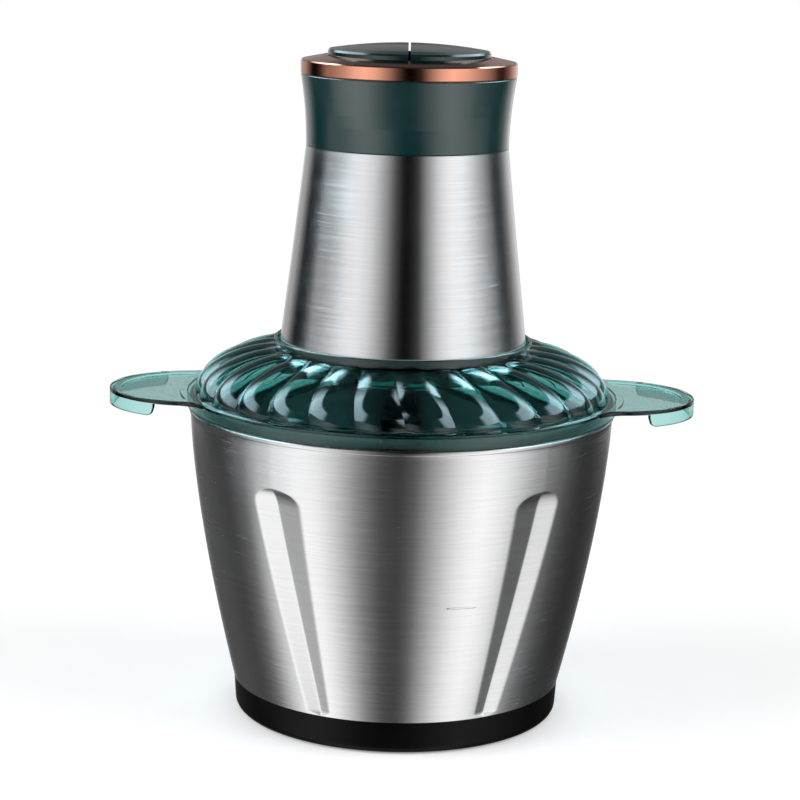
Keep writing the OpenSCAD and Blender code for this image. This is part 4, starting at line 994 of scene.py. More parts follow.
class Bench:
    """Work on profiles and finished meshes."""

    same_point = 1e-6
    flats_weight = 60

    @staticmethod
    def apply(piece: bpy.types.Object, step: bpy.types.Modifier) -> None:
        """Applies one modifier to its piece.

        Args:
            piece: The object.
            step: Its modifier.
        """
        with bpy.context.temp_override(object=piece, active_object=piece, selected_objects=[piece]):
            bpy.ops.object.modifier_apply(modifier=step.name)

    @staticmethod
    def rounded(corner: Flat, before: Flat, after: Flat, radius: float, steps: int = 3) -> list[Flat]:
        """Rounds one corner of a profile.

        Args:
            corner: The sharp corner.
            before: The corner before it.
            after: The corner after it.
            radius: How far from the corner the round starts.
            steps: Pieces of the round.

        Returns:
            The points that take the corner's place.
        """
        def towards(target: Flat) -> Flat:
            """Gives the point at the radius on the way to the target.

            Args:
                target: The corner that it lies towards.

            Returns:
                The point, at most half way there.
            """
            gone = math.dist(corner, target)
            share = min(0.5, radius / gone)
            return (corner[0] + (target[0] - corner[0]) * share, corner[1] + (target[1] - corner[1]) * share)
        first, last = towards(before), towards(after)
        return [tuple((1 - t) ** 2 * first[k] + 2 * t * (1 - t) * corner[k] + t ** 2 * last[k] for k in (0, 1))
                for t in (i / steps for i in range(steps + 1))]

    @staticmethod
    def profile(corners: Sequence[tuple[float, float, float]]) -> list[Flat]:
        """Rounds a whole closed profile.

        Args:
            corners: Radius, height and rounding of each corner.

        Returns:
            The rounded profile.
        """
        result: list[Flat] = []
        count = len(corners)
        for i, (r, z, radius) in enumerate(corners):
            if radius <= 0:
                result.append((r, z))
            else:
                before, after = corners[i - 1], corners[(i + 1) % count]
                result += Bench.rounded((r, z), before[:2], after[:2], radius)
        return result

    @staticmethod
    def merge(body: bpy.types.Object, others: Sequence[bpy.types.Object], operation: str = "UNION") -> None:
        """Joins solids into one, or cuts them from it.

        Args:
            body: The solid that is changed.
            others: The solids that are added or cut, and then removed.
            operation: UNION or DIFFERENCE.
        """
        for other in others:
            step = body.modifiers.new("merge", "BOOLEAN")
            step.operation, step.solver, step.object = operation, "EXACT", other
            Bench.apply(body, step)
            bpy.data.objects.remove(other)

    @staticmethod
    def smooth(piece: bpy.types.Object, angle: float) -> None:
        """Shades a mesh smooth, apart from edges sharper than an angle.

        Args:
            piece: The object.
            angle: The angle in degrees.
        """
        work = bmesh.new()
        work.from_mesh(piece.data)
        bmesh.ops.remove_doubles(work, verts=work.verts, dist=Bench.same_point)
        for face in work.faces:
            face.smooth = True
        for edge in work.edges:
            edge.smooth = edge.is_manifold and edge.calc_face_angle(0.0) < math.radians(angle)
        work.to_mesh(piece.data)
        work.free()

    @staticmethod
    def flatten(piece: bpy.types.Object) -> None:
        """Lets the large faces of a mesh set the shading, so that flats stay flat.

        Args:
            piece: The object, already shaded smooth.
        """
        step = piece.modifiers.new("flats", "WEIGHTED_NORMAL")
        step.keep_sharp, step.weight = True, Bench.flats_weight
        Bench.apply(piece, step)


# Sub-assemblies


@dataclass
class SubAssembly:
    """A group of pieces that is dressed together."""

    title: str = "sub-assembly"
    finishes: dict[str, Finish] = field(default_factory=dict)

    def build(self) -> list[bpy.types.Object]:
        """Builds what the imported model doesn't have; a plain group has nothing to add."""
        return []

    def dress(self) -> int:
        """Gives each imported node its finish.

        Returns:
            How many nodes were dressed.
        """
        for node, finish in self.finishes.items():
            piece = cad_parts[node]
            piece.data.materials.clear()
            piece.data.materials.append(finish.material())
            for face in piece.data.polygons:
                face.material_index = 0
        return len(self.finishes)

    def place(self, piece: bpy.types.Object, body: str, finish: Finish) -> bpy.types.Object:
        """Finishes a new piece and lets it ride on its body.

        Args:
            piece: The new piece.
            body: The body's name.
            finish: Its finish.

        Returns:
            The piece.
        """
        piece.data.materials.clear()
        piece.data.materials.append(finish.material())
        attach(piece, body)
        return piece

    def report(self) -> None:
        """Builds and dresses the group and says what was done."""
        added = self.build()
        count = self.dress()
        LOG.info("%s: %d nodes dressed, new pieces: %s", self.title, count,
                 ", ".join(piece.name for piece in added) or "none")


@dataclass(frozen=True)
class Flute:
    """One leaning V that is pressed into the bowl's wall.

    Attributes:
        low_z: The height of its lower end; the other low_ values hold there.
        high_z: The height of its upper end; the other high_ values hold there.
        low_w: Its width.
        high_w: Its width.
        low_d: Its depth.
        high_d: Its depth.
        low_a: The angle of its middle from the front or back, in degrees.
        high_a: The same angle.
        low_share: The outer facet's share of the width.
        high_share: The same share.
        round_from: The share of its length from which the upper end is rounded.
        run_out: The height at which it ends below.
        fade: The height over which it fades there.
        past_end: How far its section is pulled out of the wall past its ends.
        crease: How wide its creases are rounded.
        slant: How much thicker the sheet is across a facet than across the wall.
        least_edge: The smallest angle between valley and edge, in degrees.
        rounds: How often the edge's angle is refined.
        flattest: The smallest slope that a refinement divides by.
    """

    low_z: float = 16.2
    high_z: float = 118.0
    low_w: float = 11.5
    high_w: float = 24.5
    low_d: float = 1.2
    high_d: float = 2.55
    low_a: float = 29.2
    high_a: float = 37.4
    low_share: float = 0.58
    high_share: float = 0.43
    round_from: float = 0.925
    run_out: float = 13.4
    fade: float = 3.2
    past_end: float = 0.8
    crease: float = 0.24
    slant: float = 1.09
    least_edge: float = 0.25
    rounds: int = 8
    flattest: float = 1e-6

    def along(self, z: float, low: float, high: float) -> float:
        """Gives a value that changes evenly from the flute's lower end to its upper one."""
        return low + min(1.0, max(0.0, (z - self.low_z) / (self.high_z - self.low_z))) * (high - low)

    def centre(self, z: float, r: float) -> float:
        """Gives the angle of the valley from the front.

        Args:
            z: The height.
            r: The wall's outer radius there.

        Returns:
            The angle in degrees.
        """
        width = self.along(z, self.low_w, self.high_w)
        moved = (self.along(z, self.low_share, self.high_share) - 0.5) * width / r
        return self.along(z, self.low_a, self.high_a) - math.degrees(moved)

    def section(self, z: float, r: float, outside: bool) -> Flat:
        """Gives the depth of the valley and the slope of one of its sides.

        Args:
            z: The height.
            r: The wall's outer radius there.
            outside: Whether it is the side that lies away from the front or back.

        Returns:
            The depth, which is negative past the ends, and the slope.
        """
        s = self.along(z, 0.0, 1.0)
        past = (s - self.round_from) / (1 - self.round_from)
        top = math.sqrt(max(0.0, 1 - past ** 2)) if past > 0 else 1.0
        shape = min(top, max(0.0, (z - self.run_out) / self.fade))
        share = self.along(z, self.low_share, self.high_share)
        w = self.along(z, self.low_w, self.high_w) * (share if outside else 1 - share)
        d = self.along(z, self.low_d, self.high_d)
        return shape * (d + self.past_end) - self.past_end, (d - w * w / (2 * r)) / w

    def edge(self, z: float, r: float, outside: bool) -> float:
        """Gives the angle between the valley and an edge, in degrees.

        Args:
            z: The height.
            r: The wall's outer radius there.
            outside: Whether it is the outer edge.

        Returns:
            The angle.
        """
        deep, slope = self.section(z, r, outside)
        target = (r - max(0.0, deep)) / r
        a = 0.0
        for _ in range(self.rounds):
            fall = min(-self.flattest, -math.sin(a) - slope * math.cos(a))
            a -= (math.cos(a) - slope * math.sin(a) - target) / fall
        return max(self.least_edge, math.degrees(a))

    def radius(self, z: float, away: float, wall: float, depth: float, outside: bool) -> float:
        """Gives the radius of the pressed sheet.

        Args:
            z: The height.
            away: The angle from the valley in degrees.
            wall: The wall's outer radius there.
            depth: How far below the outer face the wanted face lies.
            outside: Whether the point lies on the valley's outer side.

        Returns:
            The radius, with softly rounded creases.
        """
        deep, slope = self.section(z, wall, outside)
        a = math.radians(away)
        soft = math.hypot(math.sin(a), self.crease / wall)
        plain = wall - depth
        pressed = (wall - deep - depth * self.slant) / (math.cos(a) - slope * soft)
        near = max(0.0, self.crease - abs(plain - pressed))
        return min(plain, pressed) - near * near / (4 * self.crease)


@dataclass(frozen=True)
class LevelLine:
    """The short line that is embossed in the bowl's wall.

    Attributes:
        z: Its height.
        start: The angle from the front at which it starts, in degrees.
        end: The angle at which it ends.
        width: Its width.
        proud: How far it stands out of the wall.
        sunk: How deep its middle lies in the sheet.
        steps: Steps along it.
        sides: Points round it.
        taper: How fast its ends widen.
        tip: How wide the tips are, as a share.
        under: Where its inner side is cut flat, as a share of proud.
        smooth_to: The sharpest crease that is shaded smooth, in degrees.
    """

    z: float = 69.0
    start: float = 13.5
    end: float = 23.5
    width: float = 1.1
    proud: float = 0.25
    sunk: float = 0.12
    steps: int = 24
    sides: int = 10
    taper: float = 8.0
    tip: float = 0.12
    under: float = -0.4
    smooth_to: float = 60.0

    def cover(self, wall: Callable[[float], float]) -> Cover:
        """Gives the line on its wall.

        Args:
            wall: Gives the wall's radius at a height.

        Returns:
            The line.
        """
        rings = []
        for i in range(self.steps + 1):
            share = i / self.steps
            turn = math.radians(self.start + (self.end - self.start) * share - 90)
            full = min(1.0, self.taper * min(share, 1 - share) + self.tip)
            ring = []
            for k in range(self.sides):
                roll = math.tau * k / self.sides
                z = self.z + 0.5 * self.width * full * math.sin(roll)
                r = wall(z) - self.sunk + self.proud * full * max(self.under, math.cos(roll))
                ring.append((*polar(r, turn), z))
            rings.append(ring)
        return Cover.skin(rings, loop=False)


@dataclass
class Bowl(SubAssembly):
    """The steel bowl with its rubber base and spindle.

    Attributes:
        rim_r: The wall's outer radius at the rim.
        foot_r: The same at the top of the base ring.
        curve: How the wall bends between them; 1 is straight.
        height: The rim's height.
        sheet: The sheet's thickness.
        base_h: The base ring's height.
        base_wall: Its wall, inside which the foot stands.
        floor_z: The height of the floor's lower face.
        corner: The radius between floor and foot.
        bend_steps: Steps round that corner.
        hem_h: The hem's height.
        hem_w: How far it stands proud.
        plateau_r: The radius of the raised middle.
        plateau_h: How far it is raised.
        hole_r: The radius of the spindle's hole.
        flute: The flute's shape.
        flute_turn: How far the four flutes are turned round the axis, in degrees.
        levels: First height, step and number of the wall's rings, in groups.
        edge_steps: Where points lie between a valley and an edge, as shares.
        plain_steps: Steps from one flute to the next.
        smooth_to: The sharpest crease that is shaded smooth, in degrees.
        mark: The level line.
    """

    title: str = "bowl"
    finishes: dict[str, Finish] = field(default_factory=lambda: {
        "base_ring": BASE_RUBBER, "bowl_spindle": TURNED_STEEL, "spindle_nut": TURNED_STEEL})
    rim_r: float = 94.9
    foot_r: float = 74.3
    curve: float = 1.5
    height: float = 139.5
    sheet: float = 1.0
    base_h: float = 14.7
    base_wall: float = 3.0
    floor_z: float = 4.0
    corner: float = 5.0
    bend_steps: int = 8
    hem_h: float = 2.2
    hem_w: float = 0.5
    plateau_r: float = 24.0
    plateau_h: float = 4.0
    hole_r: float = 3.05
    flute: Flute = field(default_factory=Flute)
    flute_turn: float = 2.8
    levels: tuple[tuple[float, float, int], ...] = (
        (15.6, 0.0, 1), (16.2, 0.45, 15), (23.0, 3.2, 26), (104.4, 1.0, 9), (113.0, 0.34, 17), (120.0, 0.0, 1),
        (123.0, 4.0, 4))
    edge_steps: tuple[float, ...] = (0.0, 0.035, 0.09, 0.2, 0.35, 0.5, 0.65, 0.8, 0.9, 0.965, 1.03, 1.11)
    plain_steps: int = 26
    smooth_to: float = 50.0
    mark: LevelLine = field(default_factory=LevelLine)

    def wall(self, z: float) -> float:
        """Gives the wall's outer radius at a height."""
        share = (self.height - z) / (self.height - self.base_h)
        return self.rim_r - (self.rim_r - self.foot_r) * share ** self.curve

    def columns(self, z: float) -> list[tuple[float, float, bool]]:
        """Gives the angles of a ring's points, packed round each flute's edges.

        Args:
            z: The height.

        Returns:
            The angle of each point, its angle from the nearest valley, and whether it is outside of it.
        """
        wall = self.wall(z)
        middle = self.flute.centre(z, wall)
        reach = self.edge_steps[-1]
        edges = {side: self.flute.edge(z, wall, side) for side in (False, True)}
        valleys = [(-90 + middle, True), (90 - middle, False), (90 + middle, True), (270 - middle, False)]
        columns: list[tuple[float, float, bool]] = []
        for index, (valley, ahead) in enumerate(valleys):
            columns += [(valley - share * edges[not ahead], share * edges[not ahead], not ahead)
                        for share in reversed(self.edge_steps[1:])]
            columns += [(valley + share * edges[ahead], share * edges[ahead], ahead) for share in self.edge_steps]
            after, start = valleys[(index + 1) % 4]
            after += 360 if index == 3 else 0
            for angle in spaced(valley + reach * edges[ahead], after - reach * edges[not start],
                                self.plain_steps)[1:-1]:
                near = angle - valley < after - angle
                columns.append((angle, min(angle - valley, after - angle), ahead if near else not start))
        return [(angle + self.flute_turn, away, side) for angle, away, side in columns]

    def ring(self, z: float, r: float | None = None, depth: float = 0.0, at: float | None = None) -> list[Spot]:
        """Gives one ring of the bowl.

        Args:
            z: The height.
            r: The radius of a plain ring, or nothing for one on the pressed wall.
            depth: How far below the outer face a wall ring lies.
            at: The height whose columns are used, if another.

        Returns:
            The ring's points.
        """
        points = []
        for angle, away, side in self.columns(z if at is None else at):
            radius = self.flute.radius(z, away, self.wall(z), depth, side) if r is None else r
            points.append((*polar(radius, math.radians(angle)), z))
        return points

    def shell(self) -> Cover:
        """Gives the pressed sheet with its hem, flutes and raised floor.

        Returns:
            The closed sheet.
        """
        t, top = self.sheet, self.height
        low = self.foot_r - self.base_wall
        under, hem = self.floor_z, top - self.hem_h
        inner = low - t
        quarter = spaced(-90, 0, self.bend_steps)
        lap = 0.02
        heights = [self.base_h + lap]
        heights += [first + step * i for first, step, count in self.levels for i in range(count)] + [hem - 0.3]
        foot = heights[0]
        rings = [self.ring(z, r, at=foot) for r, z in (
            [(self.hole_r, under + self.plateau_h), (self.plateau_r, under + self.plateau_h),
             (self.plateau_r + 2 * self.plateau_h, under)]
            + arc(low - self.corner - t, under + self.corner + t, self.corner + t, quarter)
            + [(low, self.base_h - lap)])]
        rings += [self.ring(z) for z in heights]
        rim, w = self.rim_r, self.hem_w
        rings += [self.ring(z, r) for r, z in (
            (rim + lap, hem), (rim + 0.7 * w, hem + 0.12), (rim + w, hem + 0.4), (rim + w, top - 0.55),
            (rim + 0.75 * w, top - 0.18), (rim + 0.2 * w, top), (rim - 0.75 * t, top), (rim - t, top - 0.25))]
        rings += [self.ring(z, depth=t) for z in reversed(heights[2:])]
        rings += [self.ring(z, r, at=foot) for r, z in (
            [(inner, self.base_h + t)]
            + arc(inner - self.corner, under + t + self.corner, self.corner, spaced(0, -90, self.bend_steps))
            + [(self.plateau_r + 2 * self.plateau_h + 0.4, under + t),
               (self.plateau_r + 0.4, under + self.plateau_h + t), (self.hole_r, under + self.plateau_h + t)])]
        return Cover.skin(rings, loop=True)

    def build(self) -> list[bpy.types.Object]:
        """Builds the pressed shell and the level line on its wall.

        Returns:
            The shell and the level line.
        """
        shell = self.shell().object("bowl_pressing")
        Bench.smooth(shell, self.smooth_to)
        self.place(shell, "bowl", BOWL_STEEL)
        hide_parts("bowl_shell")
        line = self.mark.cover(self.wall).object("bowl_level_line")
        Bench.smooth(line, self.mark.smooth_to)
        return [shell, self.place(line, "bowl", BOWL_STEEL)]


@dataclass
class Lid(SubAssembly):
    """The clear lid: lobed dome, flange, collar, guard tube and two ears.

    Attributes:
        low: The height of the skirt's lower edge.
        top: The height of the flange's upper face.
        plate: The flange's thickness.
        foot_r: The dome's radius on the flange; rise is its height and fall the bend of its side.
        wall: The dome's thickness.
        lobes: How many lobes it has; swirl is how far each turns from top to foot, in degrees.
        lobe_end: Where on the dome the lobes end, from 0 at the foot to 90 at the collar.
        lobe_fade: How suddenly they end.
        crease_dip: The depth of the rounded crease between two lobes, as a share of the lobes' depth.
        collar_in: The collar's inner radius, where the head stands seat_depth below its edge.
        tube_len: The length of the guard tube round the drive; hole_r is its inner radius.
        plug_r: The radius of the plug that fits into the bowl, down to plug_low.
        round_steps: Steps round the turned parts.
        ear_r: The radius of an ear, whose centre lies at ear_x.
        ear_hollow: The radius of the corner between ear and flange.
        ear_root: How far the ear's plate reaches into the flange.
        ear_proud: How far its face lies above the flange's, so that no two faces coincide.
        ear_border: The width of the border round an ear's field, which lies ear_recess deep.
        field_gap: How far the field stays off the flange's edge.
        lip_x: Where the turned-down lip starts; lip_h is its height and lip_corner rounds its ends.
        round_r: How far the ear's upper edge is rounded.
        smooth_to: The sharpest crease that is shaded smooth, in degrees.
    """

    title: str = "lid"
    finishes: dict[str, Finish] = field(default_factory=lambda: {"lid_gasket": SILICONE})
    low: float = 139.8
    top: float = 146.5
    plate: float = 2.0
    flange_r: float = 96.4
    skirt: float = 2.6
    foot_r: float = 93.0
    rise: float = 20.5
    fall: float = 1.2
    wall: float = 2.2
    lobes: int = 27
    lobe_steps: int = 16
    lobe_depth: float = 2.8
    lobe_end: int = 86
    lobe_fade: float = 6.0
    crease_dip: float = 0.965
    swirl: float = 5.0
    collar_in: float = 56.5
    collar_wall: float = 1.3
    collar_rise: float = 3.6
    seat_depth: float = 9.8
    seat_plate: float = 2.0
    hole_r: float = 16.0
    tube_wall: float = 2.0
    tube_len: float = 10.0
    plug_r: float = 90.0
    plug_wall: float = 3.0
    plug_low: float = 134.0
    round_steps: int = 288
    ear_r: float = 36.5
    ear_x: float = 95.0
    ear_hollow: float = 17.0
    ear_root: float = 2.2
    ear_proud: float = 0.004
    ear_border: float = 5.5
    ear_recess: float = 0.8
    hollow_steps: int = 14
    ear_steps: int = 72
    field_gap: float = 3.0
    field_steps: int = 64
    field_side_steps: int = 24
    lip_x: float = 109.0
    lip_h: float = 5.5
    lip_wall: float = 2.2
    lip_corner: float = 3.6
    lip_steps: int = 96
    round_r: float = 0.6
    smooth_to: float = 32.0

    def crest(self, t: float) -> tuple[Flat, Flat]:
        """Gives a point of the dome's crest line and its outward normal.

        Args:
            t: The angle along the dome, 0 at the foot and 90 at the collar.

        Returns:
            Radius and height, and the normal.
        """
        out = self.collar_in + self.collar_wall
        wide = self.foot_r - out
        a = math.radians(t)
        share = math.cos(a)
        nx, nz = share ** (2 - self.fall) / self.fall / wide, math.sin(a) / self.rise
        size = math.hypot(nx, nz)
        return (out + wide * share ** self.fall, self.top + self.rise * math.sin(a)), (nx / size, nz / size)

    def dome_ring(self, t: float, thick: float) -> list[Spot]:
        """Gives one ring of the lobed dome.

        Args:
            t: The angle along the dome.
            thick: The depth below the outer face.

        Returns:
            The ring's points.
        """
        (r, z), (nr, nz) = self.crest(t)
        fade = math.sqrt(max(0.0, 1 - (t / self.lobe_end) ** self.lobe_fade))
        count = self.lobes * self.lobe_steps
        ring = []
        for j in range(count):
            x = 2 * (j % self.lobe_steps) / self.lobe_steps - 1
            dip = x * x if j % self.lobe_steps else self.crease_dip
            down = thick + self.lobe_depth * fade * dip
            a = math.radians(360 * j / count + self.swirl * (1 - t / 90))
            ring.append((*polar(r - nr * down, a), z - nz * down))
        return ring

    def dome(self) -> Cover:
        """Gives the dome with its lobes inside and outside.

        Returns:
            The closed dome.
        """
        count = self.lobes * self.lobe_steps
        inner = self.collar_in + self.collar_wall / 2
        apex, root = self.top + self.rise, self.top - self.plate / 2

        def level(ring: list[Spot], z: float) -> list[Spot]:
            """Puts a ring at one height."""
            return [(x, y, z) for x, y, _ in ring]

        def end(z: float) -> list[Spot]:
            """Gives the round ring inside the collar's wall."""
            return [(*polar(inner, math.tau * j / count), z) for j in range(count)]

        rings = [level(self.dome_ring(0, 0), root)]
        rings += [self.dome_ring(t, 0) for t in range(2, self.lobe_end, 3)]
        rings += [end(apex), end(apex - self.wall)]
        rings += [self.dome_ring(t, self.wall) for t in range(self.lobe_end - 2, 2, -5)]
        rings += [level(self.dome_ring(0, self.wall), root)]
        return Cover.skin(rings, loop=True)

    def flange(self) -> Cover:
        """Gives the flange with its skirt and the plug below.

        Returns:
            The turned flange.
        """
        inner = min(self.foot_r - self.wall - self.lobe_depth - 0.6, self.plug_r - self.plug_wall)
        under = self.top - self.plate
        skirt = self.flange_r - self.skirt
        return Cover.turned(Bench.profile([
            (self.plug_r - self.plug_wall, self.plug_low, 0.4), (self.plug_r, self.plug_low, 0.8),
            (self.plug_r, under, 0), (skirt, under, 0), (skirt, self.low, 0.4),
            (self.flange_r, self.low, 0.7), (self.flange_r, self.top, 0.9), (inner, self.top, 0)]),
            self.round_steps)

    def collar(self) -> Cover:
        """Gives the collar, the head's seat and the guard tube.

        Returns:
            The turned collar.
        """
        out = self.collar_in + self.collar_wall
        top = self.top + self.rise + self.collar_rise
        seat = top - self.seat_depth
        tube = self.hole_r + self.tube_wall
        return Cover.turned(Bench.profile([
            (self.hole_r, seat - self.tube_len, 0.5), (tube, seat - self.tube_len, 0.5),
            (tube, seat - self.seat_plate, 0.6), (out, seat - self.seat_plate, 0.5),
            (out, top, 0.5), (self.collar_in, top, 0.4), (self.collar_in, seat, 0.4),
            (self.hole_r, seat, 0.4)]), self.round_steps)

    def ear_outline(self, inset: float) -> list[Flat]:
        """Gives the plan of the right ear, with its hollow corners.

        Args:
            inset: How far the outline lies inside the real edge.

        Returns:
            The outline from the flange round the ear and back.
        """
        hollow = self.ear_hollow + inset
        reach, round_end = self.flange_r + self.ear_hollow, self.ear_r - inset
        fx = (reach ** 2 - (self.ear_r + self.ear_hollow) ** 2 + self.ear_x ** 2) / (2 * self.ear_x)
        fy = math.sqrt(reach ** 2 - fx ** 2)
        start = math.degrees(math.atan2(fy, fx - self.ear_x))
        flange_side = 180 + math.degrees(math.atan2(fy, fx))
        ear_side = 360 - math.degrees(math.atan2(fy, self.ear_x - fx))
        upper = arc(fx, fy, hollow, spaced(flange_side, ear_side, self.hollow_steps))
        outer = arc(self.ear_x, 0.0, round_end, spaced(start, -start, self.ear_steps)[1:-1])
        lower = [(x, -y) for x, y in reversed(upper)]
        first = math.atan2(upper[0][1], upper[0][0])
        back = [polar(self.flange_r - self.ear_root, first * k) for k in (-0.97, -0.5, 0.0, 0.5, 0.97)]
        return upper + outer + lower + back

    def ear(self, side: float) -> list[Cover]:
        """Gives an ear's plate and its turned-down lip.

        Args:
            side: 1 for the right ear and -1 for the left one.

        Returns:
            The plate and the lip.
        """
        def turned(x: float, y: float, z: float) -> Spot:
            """Turns a point to the ear's side."""
            return (side * x, side * y, z)

        under, r, top = self.top - self.plate, self.round_r, self.top + self.ear_proud
        plate = Cover.skin([[turned(x, y, z) for x, y in self.ear_outline(inset)] for inset, z in (
            (0.25, under), (0.0, under + 0.25), (0.0, top - r), (0.18 * r, top - 0.35 * r),
            (0.6 * r, top - 0.06 * r), (r, top))], loop=False)
        half = math.degrees(math.acos((self.lip_x - self.ear_x) / self.ear_r))
        out, inn = self.ear_r, self.ear_r - self.lip_wall
        corner, rings = self.lip_corner, []
        for angle in spaced(-half, half, self.lip_steps):
            a = math.radians(angle)
            near = (half - abs(angle)) * math.radians(1) * self.ear_r
            lift = corner - math.sqrt(max(0.0, corner ** 2 - max(0.0, corner - near) ** 2)) if near < corner else 0.0
            z0 = under - self.lip_h + lift
            section = [(out - 0.02, under + 0.5), (out, z0 + 0.7), (out - 0.2, z0 + 0.2), (out - 0.7, z0),
                       (inn + 0.7, z0), (inn + 0.2, z0 + 0.2), (inn, z0 + 0.7), (inn, under + 0.5)]
            rings.append([turned(self.ear_x + q * math.cos(a), q * math.sin(a), z) for q, z in section])
        return [plate, Cover.skin(rings, loop=False)]

    def field_cut(self, side: float) -> Cover:
        """Gives the shallow field that is cut into an ear.

        Args:
            side: 1 for the right ear and -1 for the left one.

        Returns:
            The solid to cut away.
        """
        r, inner = self.ear_r - self.ear_border, self.flange_r + self.field_gap
        cross = (self.ear_x ** 2 + inner ** 2 - r ** 2) / (2 * self.ear_x)
        high = math.sqrt(inner ** 2 - cross ** 2)
        first = math.degrees(math.atan2(high, cross - self.ear_x))

        def outline(inset: float) -> list[Flat]:
            """Gives the field's plan.

            Args:
                inset: How far it lies inside the field's edge.

            Returns:
                The round of the ear and back along the flange.
            """
            edge = math.degrees(math.atan2(high, cross))
            return (arc(self.ear_x, 0.0, r - inset, spaced(first, -first, self.field_steps))
                    + arc(0.0, 0.0, inner + inset, spaced(-edge, edge, self.field_side_steps)[1:-1]))

        levels = ((0.5, self.top - self.ear_recess), (0.12, self.top - self.ear_recess + 0.18),
                  (0.0, self.top - self.ear_recess + 0.5), (0.0, self.top + 1))
        return Cover.skin([[(side * x, side * y, z) for x, y in outline(inset)] for inset, z in levels], loop=False)

    def build(self) -> list[bpy.types.Object]:
        """Builds the clear lid as one solid with smooth lobes.

        Returns:
            The lid.
        """
        sides = (1.0, -1.0)
        lid = self.flange().object("lid_moulding")
        parts = [self.collar().object("collar"), self.dome().object("dome")]
        parts += [cover.object("ear") for side in sides for cover in self.ear(side)]
        Bench.merge(lid, parts)
        Bench.merge(lid, [self.field_cut(side).object("field") for side in sides], "DIFFERENCE")
        Bench.smooth(lid, self.smooth_to)
        Bench.flatten(lid)
        self.place(lid, "lid", CLEAR_LID)
        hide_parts("lid_cover")
        return [lid]


@dataclass
class MotorHead(SubAssembly):
    """The outside of the motor head with its buttons and their springs.

    Attributes:
        press: How far a spring would shorten, in metres: a button's way and a little more; not used.
    """

    title: str = "motor head"
    finishes: dict[str, Finish] = field(default_factory=lambda: {
        "housing_shell": HOUSING_STEEL, "neck_band": GREEN_GLOSS, "trim_ring": ROSE_METAL,
        "button_deck": BLACK_PLASTIC, "base_cap": BLACK_PLASTIC, "cord_gland": BLACK_PLASTIC,
        "left_button": BUTTON_GLOSS, "right_button": BUTTON_GLOSS, "left_plunger": PLUNGER_RED,
        "right_plunger": PLUNGER_RED, "cap_screws": TURNED_STEEL, "deck_screws": TURNED_STEEL,
        "frame_screws": TURNED_STEEL, "circuit_board": BOARD, "micro_switches": BLACK_PLASTIC})
    press: float = 0.0026

    def coil(self, side: str) -> bpy.types.Object:
        """Builds a return spring as a copy of the imported one, with its own mesh.

        Args:
            side: The button's side, left or right.

        Returns:
            The spring.
        """
        node = f"{side}_spring"
        coil = bpy.data.objects.new(f"{side}_return_coil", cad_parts[node].data.copy())
        bpy.context.scene.collection.objects.link(coil)
        self.place(coil, "head", TURNED_STEEL)
        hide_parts(node)
        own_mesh(coil)
        return coil

    def build(self) -> list[bpy.types.Object]:
        """Builds the two return springs.

        Returns:
            The springs.
        """
        return [self.coil(side) for side in ("left", "right")]


@dataclass
class Motor(SubAssembly):
    """The motor inside the housing."""

    title: str = "motor"
    finishes: dict[str, Finish] = field(default_factory=lambda: {
        "motor_frame": WHITE_PLASTIC, "stator_core": LAMINATION, "field_windings": ENAMELLED,
        "upper_bracket": CAST, "upper_bearing": TURNED_STEEL, "lower_bearing": TURNED_STEEL,
        "brush_holders": BRASS, "carbon_brushes": CARBON, "rotor_shaft": TURNED_STEEL,
        "armature_core": LAMINATION, "armature_windings": ENAMELLED, "commutator": BARE_COPPER,
        "cooling_fan": BLACK_PLASTIC})


@dataclass
class GearTrain(SubAssembly):
    """The planetary gear and the output drive."""

    title: str = "gear train"
    finishes: dict[str, Finish] = field(default_factory=lambda: {
        "gearbox_housing": WHITE_PLASTIC, "ring_gear": GEAR_NYLON, "gearbox_cover": CAST,
        "sun_gear": TURNED_STEEL, "planet_gear_1": GEAR_NYLON, "planet_gear_2": GEAR_NYLON,
        "planet_gear_3": GEAR_NYLON, "planet_carrier": CAST, "planet_pins": TURNED_STEEL,
        "output_shaft": TURNED_STEEL, "output_bush": BRONZE, "oil_seal": SEAL_RUBBER,
        "shaft_clip": TURNED_STEEL, "drive_coupler": BLACK_PLASTIC})


@dataclass
class BladeStack(SubAssembly):
    """The blades on their hub."""

    title: str = "blade stack"
    finishes: dict[str, Finish] = field(default_factory=lambda: {
        "blade_bearing": GEAR_NYLON, "blade_hub": BLACK_PLASTIC, "lower_blade": BLADE_STEEL,
        "upper_blade": BLADE_STEEL, "blade_spacer": BLACK_PLASTIC, "blade_nut": BLACK_PLASTIC})


# Studio


